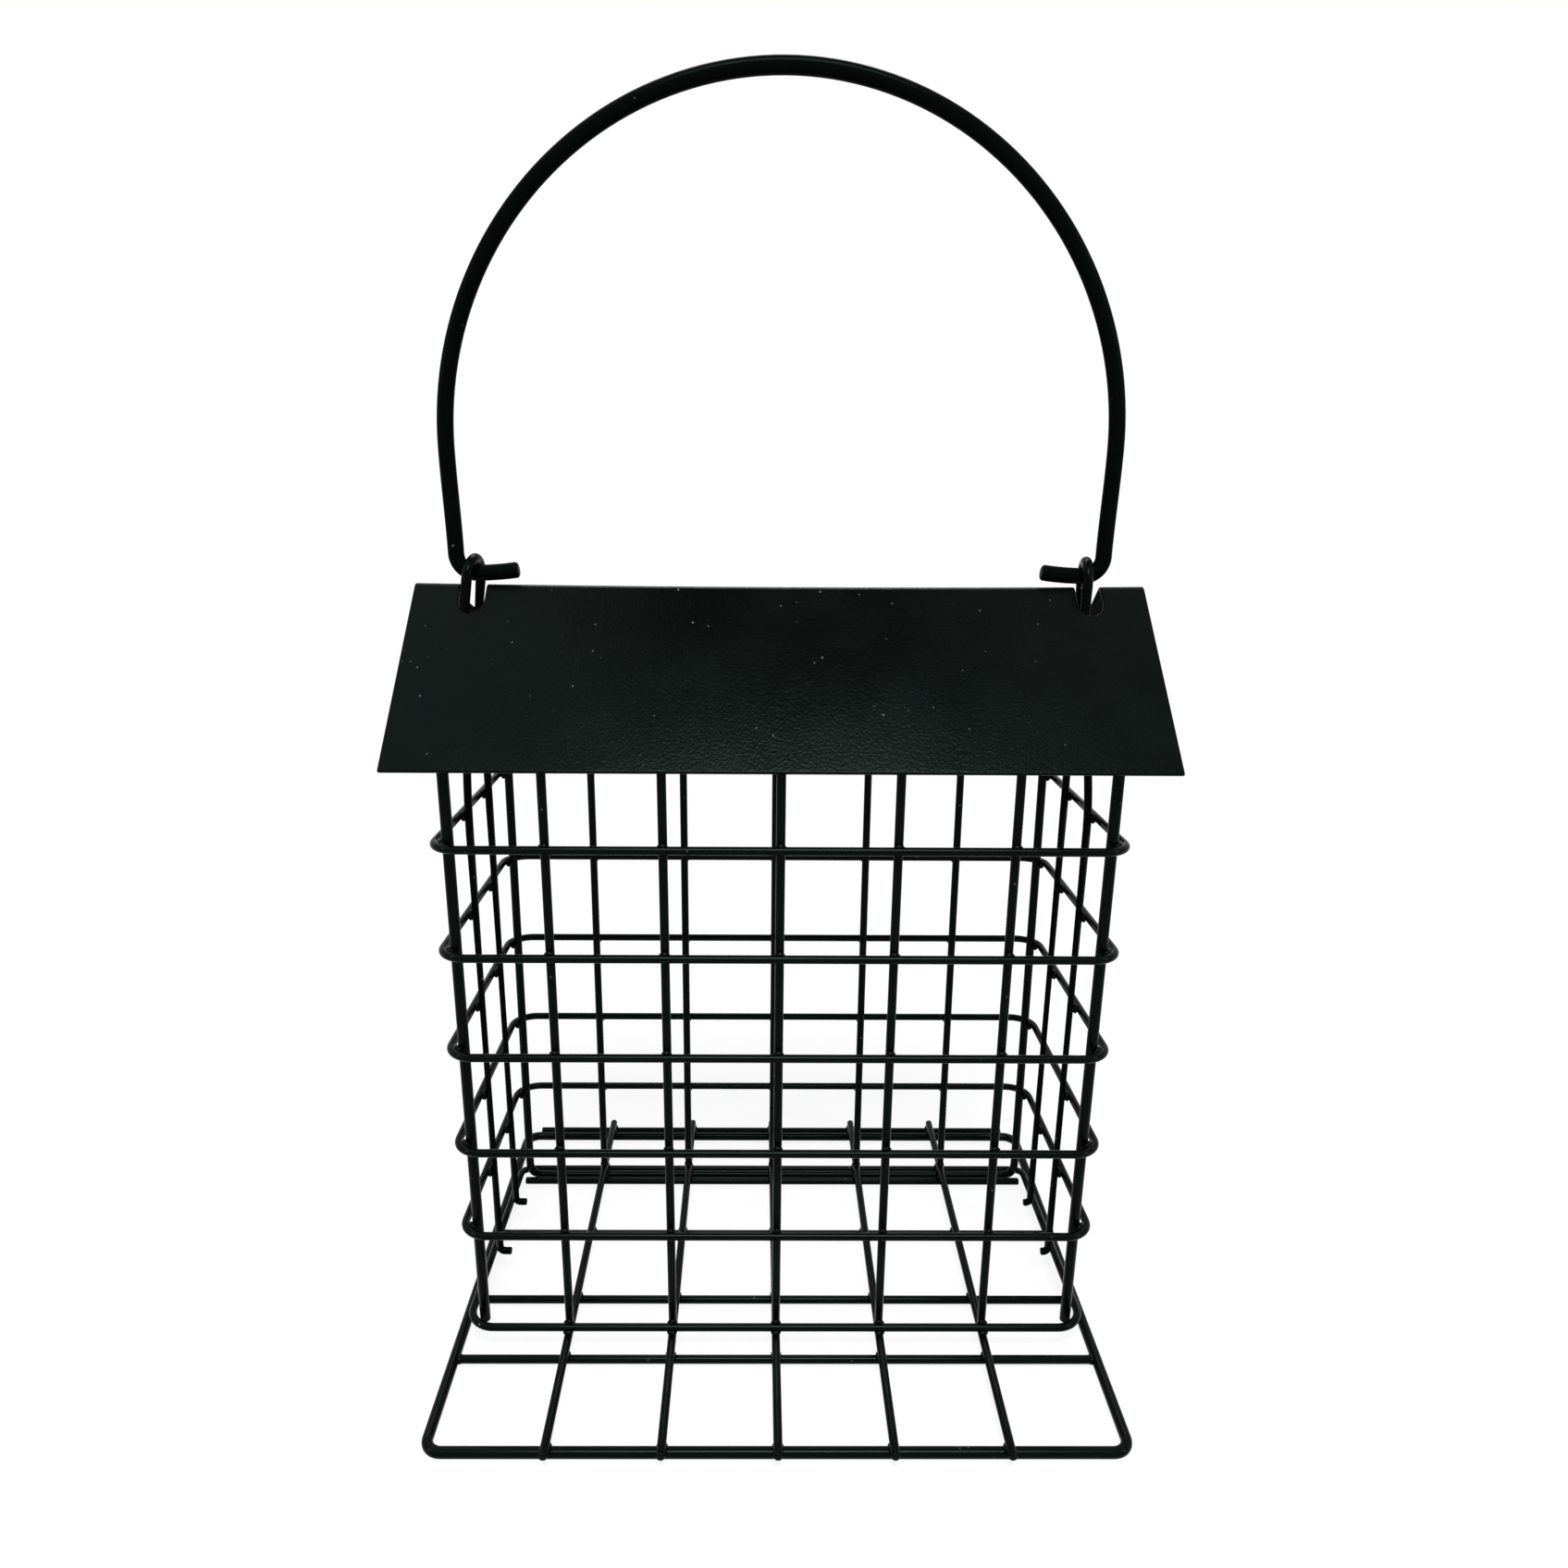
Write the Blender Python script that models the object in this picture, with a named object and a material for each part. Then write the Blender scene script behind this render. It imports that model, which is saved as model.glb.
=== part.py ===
"""Hanging suet feeder: a welded wire cage on a wire grid base, under a folded sheet roof with a swinging bail.

The frame is +Z up with the origin on the ground, under the middle of the base grid. +X runs along the ridge
of the roof and +Y points from the front of the feeder to its back. Every length is in metres.
"""

from math import cos, pi, radians, sin, tan

import bmesh
import bpy
from mathutils import Vector

# Wire diameters
RIM_WIRE = 0.0020
GRID_WIRE = 0.0016
HOOP_WIRE = 0.0015
UPRIGHT_WIRE = 0.0016
CORNER_WIRE = 0.0020
REAR_FRAME_WIRE = 0.0018
HANGER_WIRE = 0.0015
BAIL_WIRE = 0.0029

# Clearance that touching wires keep at a weld
WELD_GAP = 0.0003

# Mesh cell of the cage and of the base grid
CELL = 0.0200
CELLS_EACH_SIDE = 2
END_BAY = 0.01935

# Base grid: ledges in front of the cage, behind it and beside it, and the long wires' ends past the rails
FRONT_LEDGE = 0.0245
REAR_LEDGE = 0.0137
SIDE_LEDGE = 0.00185
RIM_CORNER_RADIUS = 0.0030
LONG_WIRE_OVERHANG = 0.0030
CROSS_WIRE_SHARES = (0.274, 0.483, 0.750)
REAR_PAIR_GAP = 0.0009

# Cage: depth at its foot, lean of its back wall, height of its top hoop and fall of each hoop to the back
CAGE_DEPTH = 0.0548
BACK_LEAN = radians(1.5)
TOP_HOOP_HEIGHT = 0.1024
HOOP_FALL = 0.0022
HOOP_CORNER_RADIUS = 0.0050
HOOP_RISE_SHARES = (1.0, 0.796, 0.598, 0.397, 0.213)
FRONT_CORNER_BEARING = radians(38)
REAR_CORNER_BEARING = radians(20)
FRAME_BEND_RISE = 0.0050

# Roof: one folded sheet
SHEET = 0.0008
ROOF_PITCH = radians(43)
FOLD_RADIUS = 0.0016
EAVE_RISE = 0.0140
EAVE_OVERHANG = 0.0028
GABLE_OVERHANG = 0.0069
NOTCH_INSETS = {"left": 0.0020, "right": 0.0016}
NOTCH_SIDE_CLEARANCE = 0.00155
NOTCH_FRONT_CLEARANCE = 0.0006
NOTCH_REAR_CLEARANCE = 0.0018

# Hangers: two wires bent to an inverted U inside the cage, each with a narrow eye above the roof
HANGER_HALF_SPREAD = 0.0080
HANGER_FOOT_HEIGHT = 0.0055
HANGER_FOOT_LENGTHS = {"left": 0.0024, "right": 0.0015}
HANGER_FOOT_BEND = 0.0012
EYE_RADIUS = 0.0040
EYE_INSETS = {"left": 0.00235, "right": 0.0021}
EYE_LEANS = {"left": radians(7), "right": 0.0}
EYE_TWISTS = {"left": radians(5), "right": radians(8)}

# Bail: a wire arch whose ends turn in through the eyes
BAIL_AXIS_CLEARANCE = 0.00045
EYE_TOP_CLEARANCE = 0.00035
BAIL_SIDE_PLAY = 0.00085
BAIL_BEND_RADIUS = 0.0034
BAIL_STUB_LENGTH = 0.00885
BAIL_STUB_RISE = 0.0006
BAIL_BULGE = 0.0004
BAIL_LEG_RISE = 0.0221
BAIL_ARCH_RISE = 0.0589

# Facets of the round wires and of their bends
ROUND_STEPS = 2
ROUND_SIDES = 4 + 2 * ROUND_STEPS
FLAT_DOWN = pi / ROUND_SIDES
CORNER_STEPS = 5
EYE_STEPS = 10
ARCH_STEPS = 24
FOLD_STEPS = 6
NOTCH_STEPS = 8

# Places across the feeder, along X
cage_half_width = CELLS_EACH_SIDE * CELL + END_BAY
rim_half_width = cage_half_width + SIDE_LEDGE
corner_centre_x = cage_half_width - HOOP_CORNER_RADIUS
hanger_x = cage_half_width - HOOP_WIRE / 2 - WELD_GAP - HANGER_WIRE / 2
eye_face_x = hanger_x - min(EYE_INSETS.values()) + HANGER_WIRE / 2
bail_leg_x = eye_face_x + BAIL_SIDE_PLAY + BAIL_WIRE / 2
roof_half_length = cage_half_width + GABLE_OVERHANG

# Places from front to back, along Y
base_half_depth = (FRONT_LEDGE + CAGE_DEPTH + REAR_LEDGE) / 2
cage_front_y = FRONT_LEDGE - base_half_depth
upright_inset = HOOP_WIRE / 2 + WELD_GAP + UPRIGHT_WIRE / 2
front_upright_y = cage_front_y + upright_inset

# Heights of the base grid
rim_z = RIM_WIRE / 2 * cos(FLAT_DOWN)
rim_top_z = rim_z + RIM_WIRE / 2
cross_wire_z = rim_top_z - GRID_WIRE / 2
long_wire_z = rim_top_z + WELD_GAP + GRID_WIRE / 2
long_wire_top_z = long_wire_z + GRID_WIRE / 2

# Heights of the bottom hoop: on the long wires in front, over the cross wires where its sides end,
# and under the long wires behind
bottom_hoop_front_z = long_wire_top_z + WELD_GAP + HOOP_WIRE / 2
bottom_hoop_corner_z = rim_top_z + WELD_GAP + HOOP_WIRE / 2
bottom_hoop_rear_z = long_wire_z - GRID_WIRE / 2 - WELD_GAP - HOOP_WIRE / 2


def cage_rear_y(height):
    """Place of a hoop's rear run, whose wall leans back as it rises."""
    return cage_front_y + CAGE_DEPTH + tan(BACK_LEAN) * height


def corner_reach(diameter):
    """How far from the centre of a hoop's corner an upright inside it stands."""
    return HOOP_CORNER_RADIUS - HOOP_WIRE / 2 - WELD_GAP - diameter / 2


# The roof's ridge lies over the middle of the top hoop
ridge_y = (cage_front_y + cage_rear_y(TOP_HOOP_HEIGHT - HOOP_FALL)) / 2
roof_run = ridge_y - front_upright_y + EAVE_OVERHANG
eave_z = TOP_HOOP_HEIGHT + EAVE_RISE
slopes_meet_z = eave_z + roof_run * tan(ROOF_PITCH)
fold_centre_z = slopes_meet_z - FOLD_RADIUS / cos(ROOF_PITCH)
ridge_z = fold_centre_z + FOLD_RADIUS
underside_meet_z = slopes_meet_z - SHEET / cos(ROOF_PITCH)

# The bail turns just above the ridge, under the tops of the eyes
bail_axis_z = ridge_z + BAIL_AXIS_CLEARANCE + BAIL_WIRE / 2
eye_top_z = bail_axis_z + BAIL_WIRE / 2 + EYE_TOP_CLEARANCE + HANGER_WIRE / 2
eye_centre_z = eye_top_z - EYE_RADIUS


def paint(name, colour, roughness, metallic):
    """Make one sub-part's own coat."""
    material = bpy.data.materials.new(name + "_paint")
    material.use_nodes = True
    surface = material.node_tree.nodes["Principled BSDF"]
    surface.inputs["Base Color"].default_value = (*colour, 1)
    surface.inputs["Roughness"].default_value = roughness
    surface.inputs["Metallic"].default_value = metallic
    return material


def coat(name):
    """Black powder coat, as all the wires and the sheet have."""
    return paint(name, (0.012, 0.015, 0.015), 0.42, 0.0)


def place(name, data, location=(0, 0, 0)):
    """Put mesh or curve data into the scene as one named sub-part with its own coat."""
    data.materials.append(coat(name))
    item = bpy.data.objects.new(name, data)
    item.location = location
    bpy.context.scene.collection.objects.link(item)
    return item


def wire(name, points, diameter, closed=False, upright=False, location=(0, 0, 0)):
    """Bend a round wire through points; an upright one keeps the least twist past its vertical runs."""
    curve = bpy.data.curves.new(name, "CURVE")
    curve.dimensions = "3D"
    curve.twist_mode = "MINIMUM" if upright else "Z_UP"
    curve.bevel_depth = diameter / 2
    curve.bevel_resolution = ROUND_STEPS
    curve.use_fill_caps = not closed
    spline = curve.splines.new("POLY")
    spline.points.add(len(points) - 1)
    for target, point in zip(spline.points, points):
        target.co = (*point, 1)
        target.tilt = FLAT_DOWN
    spline.use_cyclic_u = closed
    return place(name, curve, location)


def arc(centre_x, centre_y, radius, start, end, steps):
    """Points of a flat arc, with both of its ends."""
    turns = [start + (end - start) * step / steps for step in range(steps + 1)]
    return [(centre_x + radius * cos(turn), centre_y + radius * sin(turn)) for turn in turns]


def rounded_rectangle(half_width, front, rear, radius):
    """Outline with round corners, from the front right corner round the rear to the front left one."""
    corners = (
        (half_width - radius, front + radius, -pi / 2),
        (half_width - radius, rear - radius, 0),
        (radius - half_width, rear - radius, pi / 2),
        (radius - half_width, front + radius, pi),
    )
    outline = []
    for centre_x, centre_y, start in corners:
        outline += arc(centre_x, centre_y, radius, start, start + pi / 2, CORNER_STEPS)
    return outline


def build_base_rim():
    """Heavy wire round the edge of the base grid; the feeder stands on it."""
    outline = rounded_rectangle(rim_half_width, -base_half_depth, base_half_depth, RIM_CORNER_RADIUS)
    wire("base_rim", [(x, y, rim_z) for x, y in outline], RIM_WIRE, closed=True)


def grid_places():
    """Places along X of the wires that the cage and the base grid repeat at one cell."""
    return [index * CELL for index in range(-CELLS_EACH_SIDE, CELLS_EACH_SIDE + 1)]


def build_base_grid():
    """Cross wires between the side rails, and the long wires that lie on them."""
    tip = base_half_depth + LONG_WIRE_OVERHANG
    for number, x in enumerate(grid_places(), 1):
        wire(f"base_long_wire_{number}", [(x, -tip, long_wire_z), (x, tip, long_wire_z)], GRID_WIRE)

    frame_foot_y = cage_rear_y(bottom_hoop_rear_z) - HOOP_WIRE / 2 - WELD_GAP - REAR_FRAME_WIRE / 2
    last_inside_y = frame_foot_y - REAR_FRAME_WIRE / 2 - REAR_PAIR_GAP - GRID_WIRE / 2
    behind_rail_y = base_half_depth + RIM_WIRE / 2 + WELD_GAP + GRID_WIRE / 2
    between_rails = rim_half_width - RIM_WIRE / 2 - WELD_GAP
    span = last_inside_y + base_half_depth
    runs = [(share * span - base_half_depth, between_rails) for share in CROSS_WIRE_SHARES]
    runs.append((last_inside_y, cage_half_width - HOOP_WIRE / 2 - WELD_GAP))
    runs.append((behind_rail_y, rim_half_width - RIM_CORNER_RADIUS))
    for number, (y, reach) in enumerate(runs, 1):
        wire(f"base_cross_wire_{number}", [(-reach, y, cross_wire_z), (reach, y, cross_wire_z)], GRID_WIRE)


def build_cage_hoops():
    """Five closed hoops round the uprights, from the top down, each falling a little to the back."""
    for number, share in enumerate(HOOP_RISE_SHARES, 1):
        front_z = bottom_hoop_front_z + share * (TOP_HOOP_HEIGHT - bottom_hoop_front_z)
        rear_y = cage_rear_y(front_z - HOOP_FALL)
        slope = HOOP_FALL / (rear_y - cage_front_y)
        outline = rounded_rectangle(cage_half_width, cage_front_y, rear_y, HOOP_CORNER_RADIUS)
        points = [(x, y, front_z - slope * (y - cage_front_y)) for x, y in outline]
        wire(f"cage_hoop_{number}", points, HOOP_WIRE, closed=True)


def build_bottom_hoop():
    """Bottom hoop, threaded: over the long wires in front, and down at its rear corners to pass under them."""
    rear_y = cage_rear_y(bottom_hoop_rear_z)
    outline = rounded_rectangle(cage_half_width, cage_front_y, rear_y, HOOP_CORNER_RADIUS)
    side_start = cage_front_y + HOOP_CORNER_RADIUS
    side_end = rear_y - HOOP_CORNER_RADIUS
    side_fall = bottom_hoop_front_z - bottom_hoop_corner_z
    corner_fall = bottom_hoop_corner_z - bottom_hoop_rear_z
    points = []
    for x, y in outline:
        side_share = min(max((y - side_start) / (side_end - side_start), 0), 1)
        corner_share = max((y - side_end) / HOOP_CORNER_RADIUS, 0) ** 2
        points.append((x, y, bottom_hoop_front_z - side_fall * side_share - corner_fall * corner_share))
    wire("bottom_hoop", points, HOOP_WIRE, closed=True)


def roof_meets(foot_from_ridge, lean, diameter):
    """Height at which an upright, so far from the ridge at the ground, ends just under the sheet."""
    reach = foot_from_ridge + diameter / 2
    return (underside_meet_z - WELD_GAP - reach * tan(ROOF_PITCH)) / (1 + lean * tan(ROOF_PITCH))


def build_uprights():
    """Five uprights in the front wall and five in the back one, from the long wires to the roof."""
    foot_z = long_wire_top_z + WELD_GAP
    lean = tan(BACK_LEAN)
    rear_foot_y = cage_rear_y(0) - upright_inset
    front_top_z = roof_meets(ridge_y - front_upright_y, 0, UPRIGHT_WIRE)
    rear_top_z = roof_meets(rear_foot_y - ridge_y, lean, UPRIGHT_WIRE)
    for number, x in enumerate(grid_places(), 1):
        front = [(x, front_upright_y, foot_z), (x, front_upright_y, front_top_z)]
        rear = [(x, rear_foot_y + lean * z, z) for z in (foot_z, rear_top_z)]
        wire(f"front_upright_{number}", front, UPRIGHT_WIRE, upright=True)
        wire(f"back_upright_{number}", rear, UPRIGHT_WIRE, upright=True)


def build_front_corners():
    """Two heavier uprights inside the hoops' front corners."""
    reach = corner_reach(CORNER_WIRE)
    corner_x = corner_centre_x + reach * cos(FRONT_CORNER_BEARING)
    y = cage_front_y + HOOP_CORNER_RADIUS - reach * sin(FRONT_CORNER_BEARING)
    foot_z = bottom_hoop_front_z - HOOP_WIRE / 2 - WELD_GAP
    top_z = roof_meets(ridge_y - y, 0, CORNER_WIRE)
    for side, x in (("left", -corner_x), ("right", corner_x)):
        wire(f"front_{side}_corner_upright", [(x, y, foot_z), (x, y, top_z)], CORNER_WIRE, upright=True)


def build_rear_frame():
    """One heavier wire bent to a U: a foot behind the cage floor and both rear corner uprights."""
    reach = corner_reach(REAR_FRAME_WIRE)
    foot_z = rim_top_z - REAR_FRAME_WIRE / 2
    half = []
    for step in range(CORNER_STEPS + 1):
        share = step / CORNER_STEPS
        turn = pi / 2 + (REAR_CORNER_BEARING - pi / 2) * share
        z = foot_z + FRAME_BEND_RISE * (1 - cos(share * pi / 2))
        y = cage_rear_y(z) - HOOP_CORNER_RADIUS + reach * sin(turn)
        half.append(Vector((corner_centre_x + reach * cos(turn), y, z)))
    lean = tan(BACK_LEAN)
    ground_y = half[-1].y - lean * half[-1].z
    top_z = roof_meets(ground_y - ridge_y, lean, REAR_FRAME_WIRE)
    half.append(Vector((half[-1].x, ground_y + lean * top_z, top_z)))
    other_half = [Vector((-point.x, point.y, point.z)) for point in reversed(half)]
    wire("rear_frame_wire", other_half + half, REAR_FRAME_WIRE, upright=True)


def build_notch_cutter(side, direction):
    """Upright slug with round ends that cuts one notch across the fold."""
    x = direction * (hanger_x - NOTCH_INSETS[side])
    half_width = HANGER_WIRE / 2 + NOTCH_SIDE_CLEARANCE
    reach = EYE_RADIUS + HANGER_WIRE / 2 - half_width
    outline = arc(x, ridge_y + reach + NOTCH_REAR_CLEARANCE, half_width, 0, pi, NOTCH_STEPS)
    outline += arc(x, ridge_y - reach - NOTCH_FRONT_CLEARANCE, half_width, pi, 2 * pi, NOTCH_STEPS)
    mesh = bmesh.new()
    face = mesh.faces.new([mesh.verts.new((px, py, eave_z)) for px, py in outline])
    grown = bmesh.ops.extrude_face_region(mesh, geom=[face])
    top = [item for item in grown["geom"] if isinstance(item, bmesh.types.BMVert)]
    bmesh.ops.translate(mesh, verts=top, vec=(0, 0, eye_top_z - eave_z))
    bmesh.ops.recalc_face_normals(mesh, faces=mesh.faces)
    data = bpy.data.meshes.new(f"{side}_notch_cutter")
    mesh.to_mesh(data)
    mesh.free()
    cutter = bpy.data.objects.new(data.name, data)
    cutter.hide_render = True
    cutter.display_type = "WIRE"
    bpy.context.scene.collection.objects.link(cutter)
    return cutter


def build_roof():
    """One sheet folded at the ridge, with a notch across the fold for each hanger."""
    turns = [ROOF_PITCH * (2 * step / FOLD_STEPS - 1) for step in range(FOLD_STEPS + 1)]
    inner_radius = FOLD_RADIUS - SHEET
    slope = Vector((cos(ROOF_PITCH), sin(ROOF_PITCH)))
    inward = Vector((sin(ROOF_PITCH), -cos(ROOF_PITCH))) * SHEET
    eave = Vector((-roof_run, eave_z))
    outer = [(FOLD_RADIUS * sin(turn), fold_centre_z + FOLD_RADIUS * cos(turn)) for turn in turns]
    inner = [(inner_radius * sin(turn), fold_centre_z + inner_radius * cos(turn)) for turn in reversed(turns)]
    eave_inner = eave + inward
    section = [tuple(eave), *outer, (-eave.x, eave.y)]
    section += [(-eave_inner.x, eave_inner.y), *inner, tuple(eave_inner)]

    mesh = bmesh.new()
    corners = [mesh.verts.new((-roof_half_length, ridge_y + y, z)) for y, z in section]
    strips = []
    last = len(section) - 1
    for index in range(last // 2):
        quad = (corners[index], corners[index + 1], corners[last - index - 1], corners[last - index])
        strips.append(mesh.faces.new(quad))
    grown = bmesh.ops.extrude_face_region(mesh, geom=strips)
    far_end = [item for item in grown["geom"] if isinstance(item, bmesh.types.BMVert)]
    bmesh.ops.translate(mesh, verts=far_end, vec=(2 * roof_half_length, 0, 0))
    bmesh.ops.recalc_face_normals(mesh, faces=mesh.faces)
    data = bpy.data.meshes.new("roof_sheet")
    mesh.to_mesh(data)
    mesh.free()
    roof = place("roof_sheet", data)
    for side, direction in (("left", -1), ("right", 1)):
        cut = roof.modifiers.new(f"{side}_notch", "BOOLEAN")
        cut.operation = "DIFFERENCE"
        cut.object = build_notch_cutter(side, direction)


def build_hanger(side, direction):
    """One hanger: feet turned in, two legs on the inside of the hoops, and the eye that holds the bail.

    Each eye is bent by hand: it leans in at its top by its own angle, and is twisted about the vertical.
    """
    leg_top_z = TOP_HOOP_HEIGHT + HOOP_WIRE
    bend_x = hanger_x - HANGER_FOOT_BEND
    leg = [Vector((hanger_x - HANGER_FOOT_LENGTHS[side], -HANGER_HALF_SPREAD, HANGER_FOOT_HEIGHT))]
    for x, z in arc(bend_x, HANGER_FOOT_HEIGHT + HANGER_FOOT_BEND, HANGER_FOOT_BEND, -pi / 2, 0, CORNER_STEPS):
        leg.append(Vector((x, -HANGER_HALF_SPREAD, z)))
    leg.append(Vector((hanger_x, -HANGER_HALF_SPREAD, leg_top_z)))

    eye_x = hanger_x - EYE_INSETS[side]
    lean = tan(EYE_LEANS[side])
    twist = EYE_TWISTS[side] * direction
    throat_z = underside_meet_z - (EYE_RADIUS + HANGER_WIRE) * tan(ROOF_PITCH) - HANGER_WIRE
    crown = arc(0, eye_centre_z, EYE_RADIUS, pi, 0, EYE_STEPS)
    outline = [(-EYE_RADIUS, throat_z), *crown, (EYE_RADIUS, throat_z)]
    eye = []
    for y, z in outline:
        eye.append(Vector((eye_x + y * sin(twist) + (eye_top_z - z) * lean, y * cos(twist), z)))
    far_leg = [Vector((point.x, -point.y, point.z)) for point in reversed(leg)]
    path = leg + eye + far_leg
    points = [(direction * point.x, ridge_y + point.y, point.z) for point in path]
    wire(f"{side}_hanger_wire", points, HANGER_WIRE, upright=True)


def build_bail():
    """The bail, round an origin on its turning axis."""
    half = [(eye_face_x - BAIL_STUB_LENGTH, BAIL_STUB_RISE)]
    half += arc(bail_leg_x - BAIL_BEND_RADIUS, BAIL_BEND_RADIUS, BAIL_BEND_RADIUS, -pi / 2, 0, CORNER_STEPS)
    for step in range(ARCH_STEPS // 2 + 1):
        turn = pi / 2 * step / (ARCH_STEPS // 2)
        x = (bail_leg_x + BAIL_BULGE) * cos(turn)
        half.append((x, BAIL_LEG_RISE + BAIL_ARCH_RISE * sin(turn)))
    other_half = [(-x, z) for x, z in reversed(half[:-1])]
    points = [(x, 0, z) for x, z in half + other_half]
    wire("bail_handle", points, BAIL_WIRE, upright=True, location=(0, ridge_y, bail_axis_z))


def main():
    """Clear the scene and build the feeder."""
    for item in list(bpy.data.objects):
        bpy.data.objects.remove(item, do_unlink=True)
    build_base_rim()
    build_base_grid()
    build_cage_hoops()
    build_bottom_hoop()
    build_uprights()
    build_front_corners()
    build_rear_frame()
    build_roof()
    build_hanger("left", -1)
    build_hanger("right", 1)
    build_bail()


main()
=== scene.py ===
"""Looks of a hanging suet feeder: a welded wire cage on a grid base, a folded sheet roof and a wire bail.

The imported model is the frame, and its plain eight-sided wires are replaced here by round, welded and coated
ones. +Z is up, +X runs along the roof's ridge and +Y from the front ledge to the back. Lengths are in metres.
"""

import logging
from collections.abc import Callable
from dataclasses import dataclass, field
from enum import Enum
from functools import partial
from math import cos, pi, radians, sin, tan
from typing import ClassVar

import bpy
import numpy as np
from mathutils import Euler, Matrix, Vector

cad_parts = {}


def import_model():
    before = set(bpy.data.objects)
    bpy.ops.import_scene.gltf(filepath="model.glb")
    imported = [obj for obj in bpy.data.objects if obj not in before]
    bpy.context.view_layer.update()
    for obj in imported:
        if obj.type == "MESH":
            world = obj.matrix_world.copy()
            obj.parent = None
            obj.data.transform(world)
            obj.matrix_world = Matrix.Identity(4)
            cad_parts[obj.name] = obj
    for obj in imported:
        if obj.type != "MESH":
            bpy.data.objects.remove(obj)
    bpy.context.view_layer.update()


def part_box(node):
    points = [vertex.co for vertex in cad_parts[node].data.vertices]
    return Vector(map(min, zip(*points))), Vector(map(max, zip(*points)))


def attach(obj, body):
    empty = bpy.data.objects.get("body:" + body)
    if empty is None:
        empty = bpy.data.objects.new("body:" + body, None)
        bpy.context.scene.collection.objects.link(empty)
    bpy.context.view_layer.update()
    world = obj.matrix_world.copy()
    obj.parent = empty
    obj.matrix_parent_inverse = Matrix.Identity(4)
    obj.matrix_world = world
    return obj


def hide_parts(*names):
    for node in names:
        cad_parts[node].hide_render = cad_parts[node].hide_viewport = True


LOG = logging.getLogger("suet_feeder")
QUARTER = pi / 2
TINY = 1e-9
ALONG_X, ALONG_Y, ALONG_Z = np.eye(3)
Triple = tuple[float, float, float]
Socket = bpy.types.NodeSocket


class Body(Enum):
    """The two bodies of the feeder."""

    FEEDER = "feeder"
    BAIL = "bail"


class Coat(Enum):
    """The record's slots, one for each powder-coated surface."""

    WIRE = "wire_coat"
    ROOF = "roof_coat"
    BAIL = "bail_coat"


class Side(Enum):
    """The two ends of the feeder, with the sign of their X."""

    LEFT = -1
    RIGHT = 1


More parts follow.
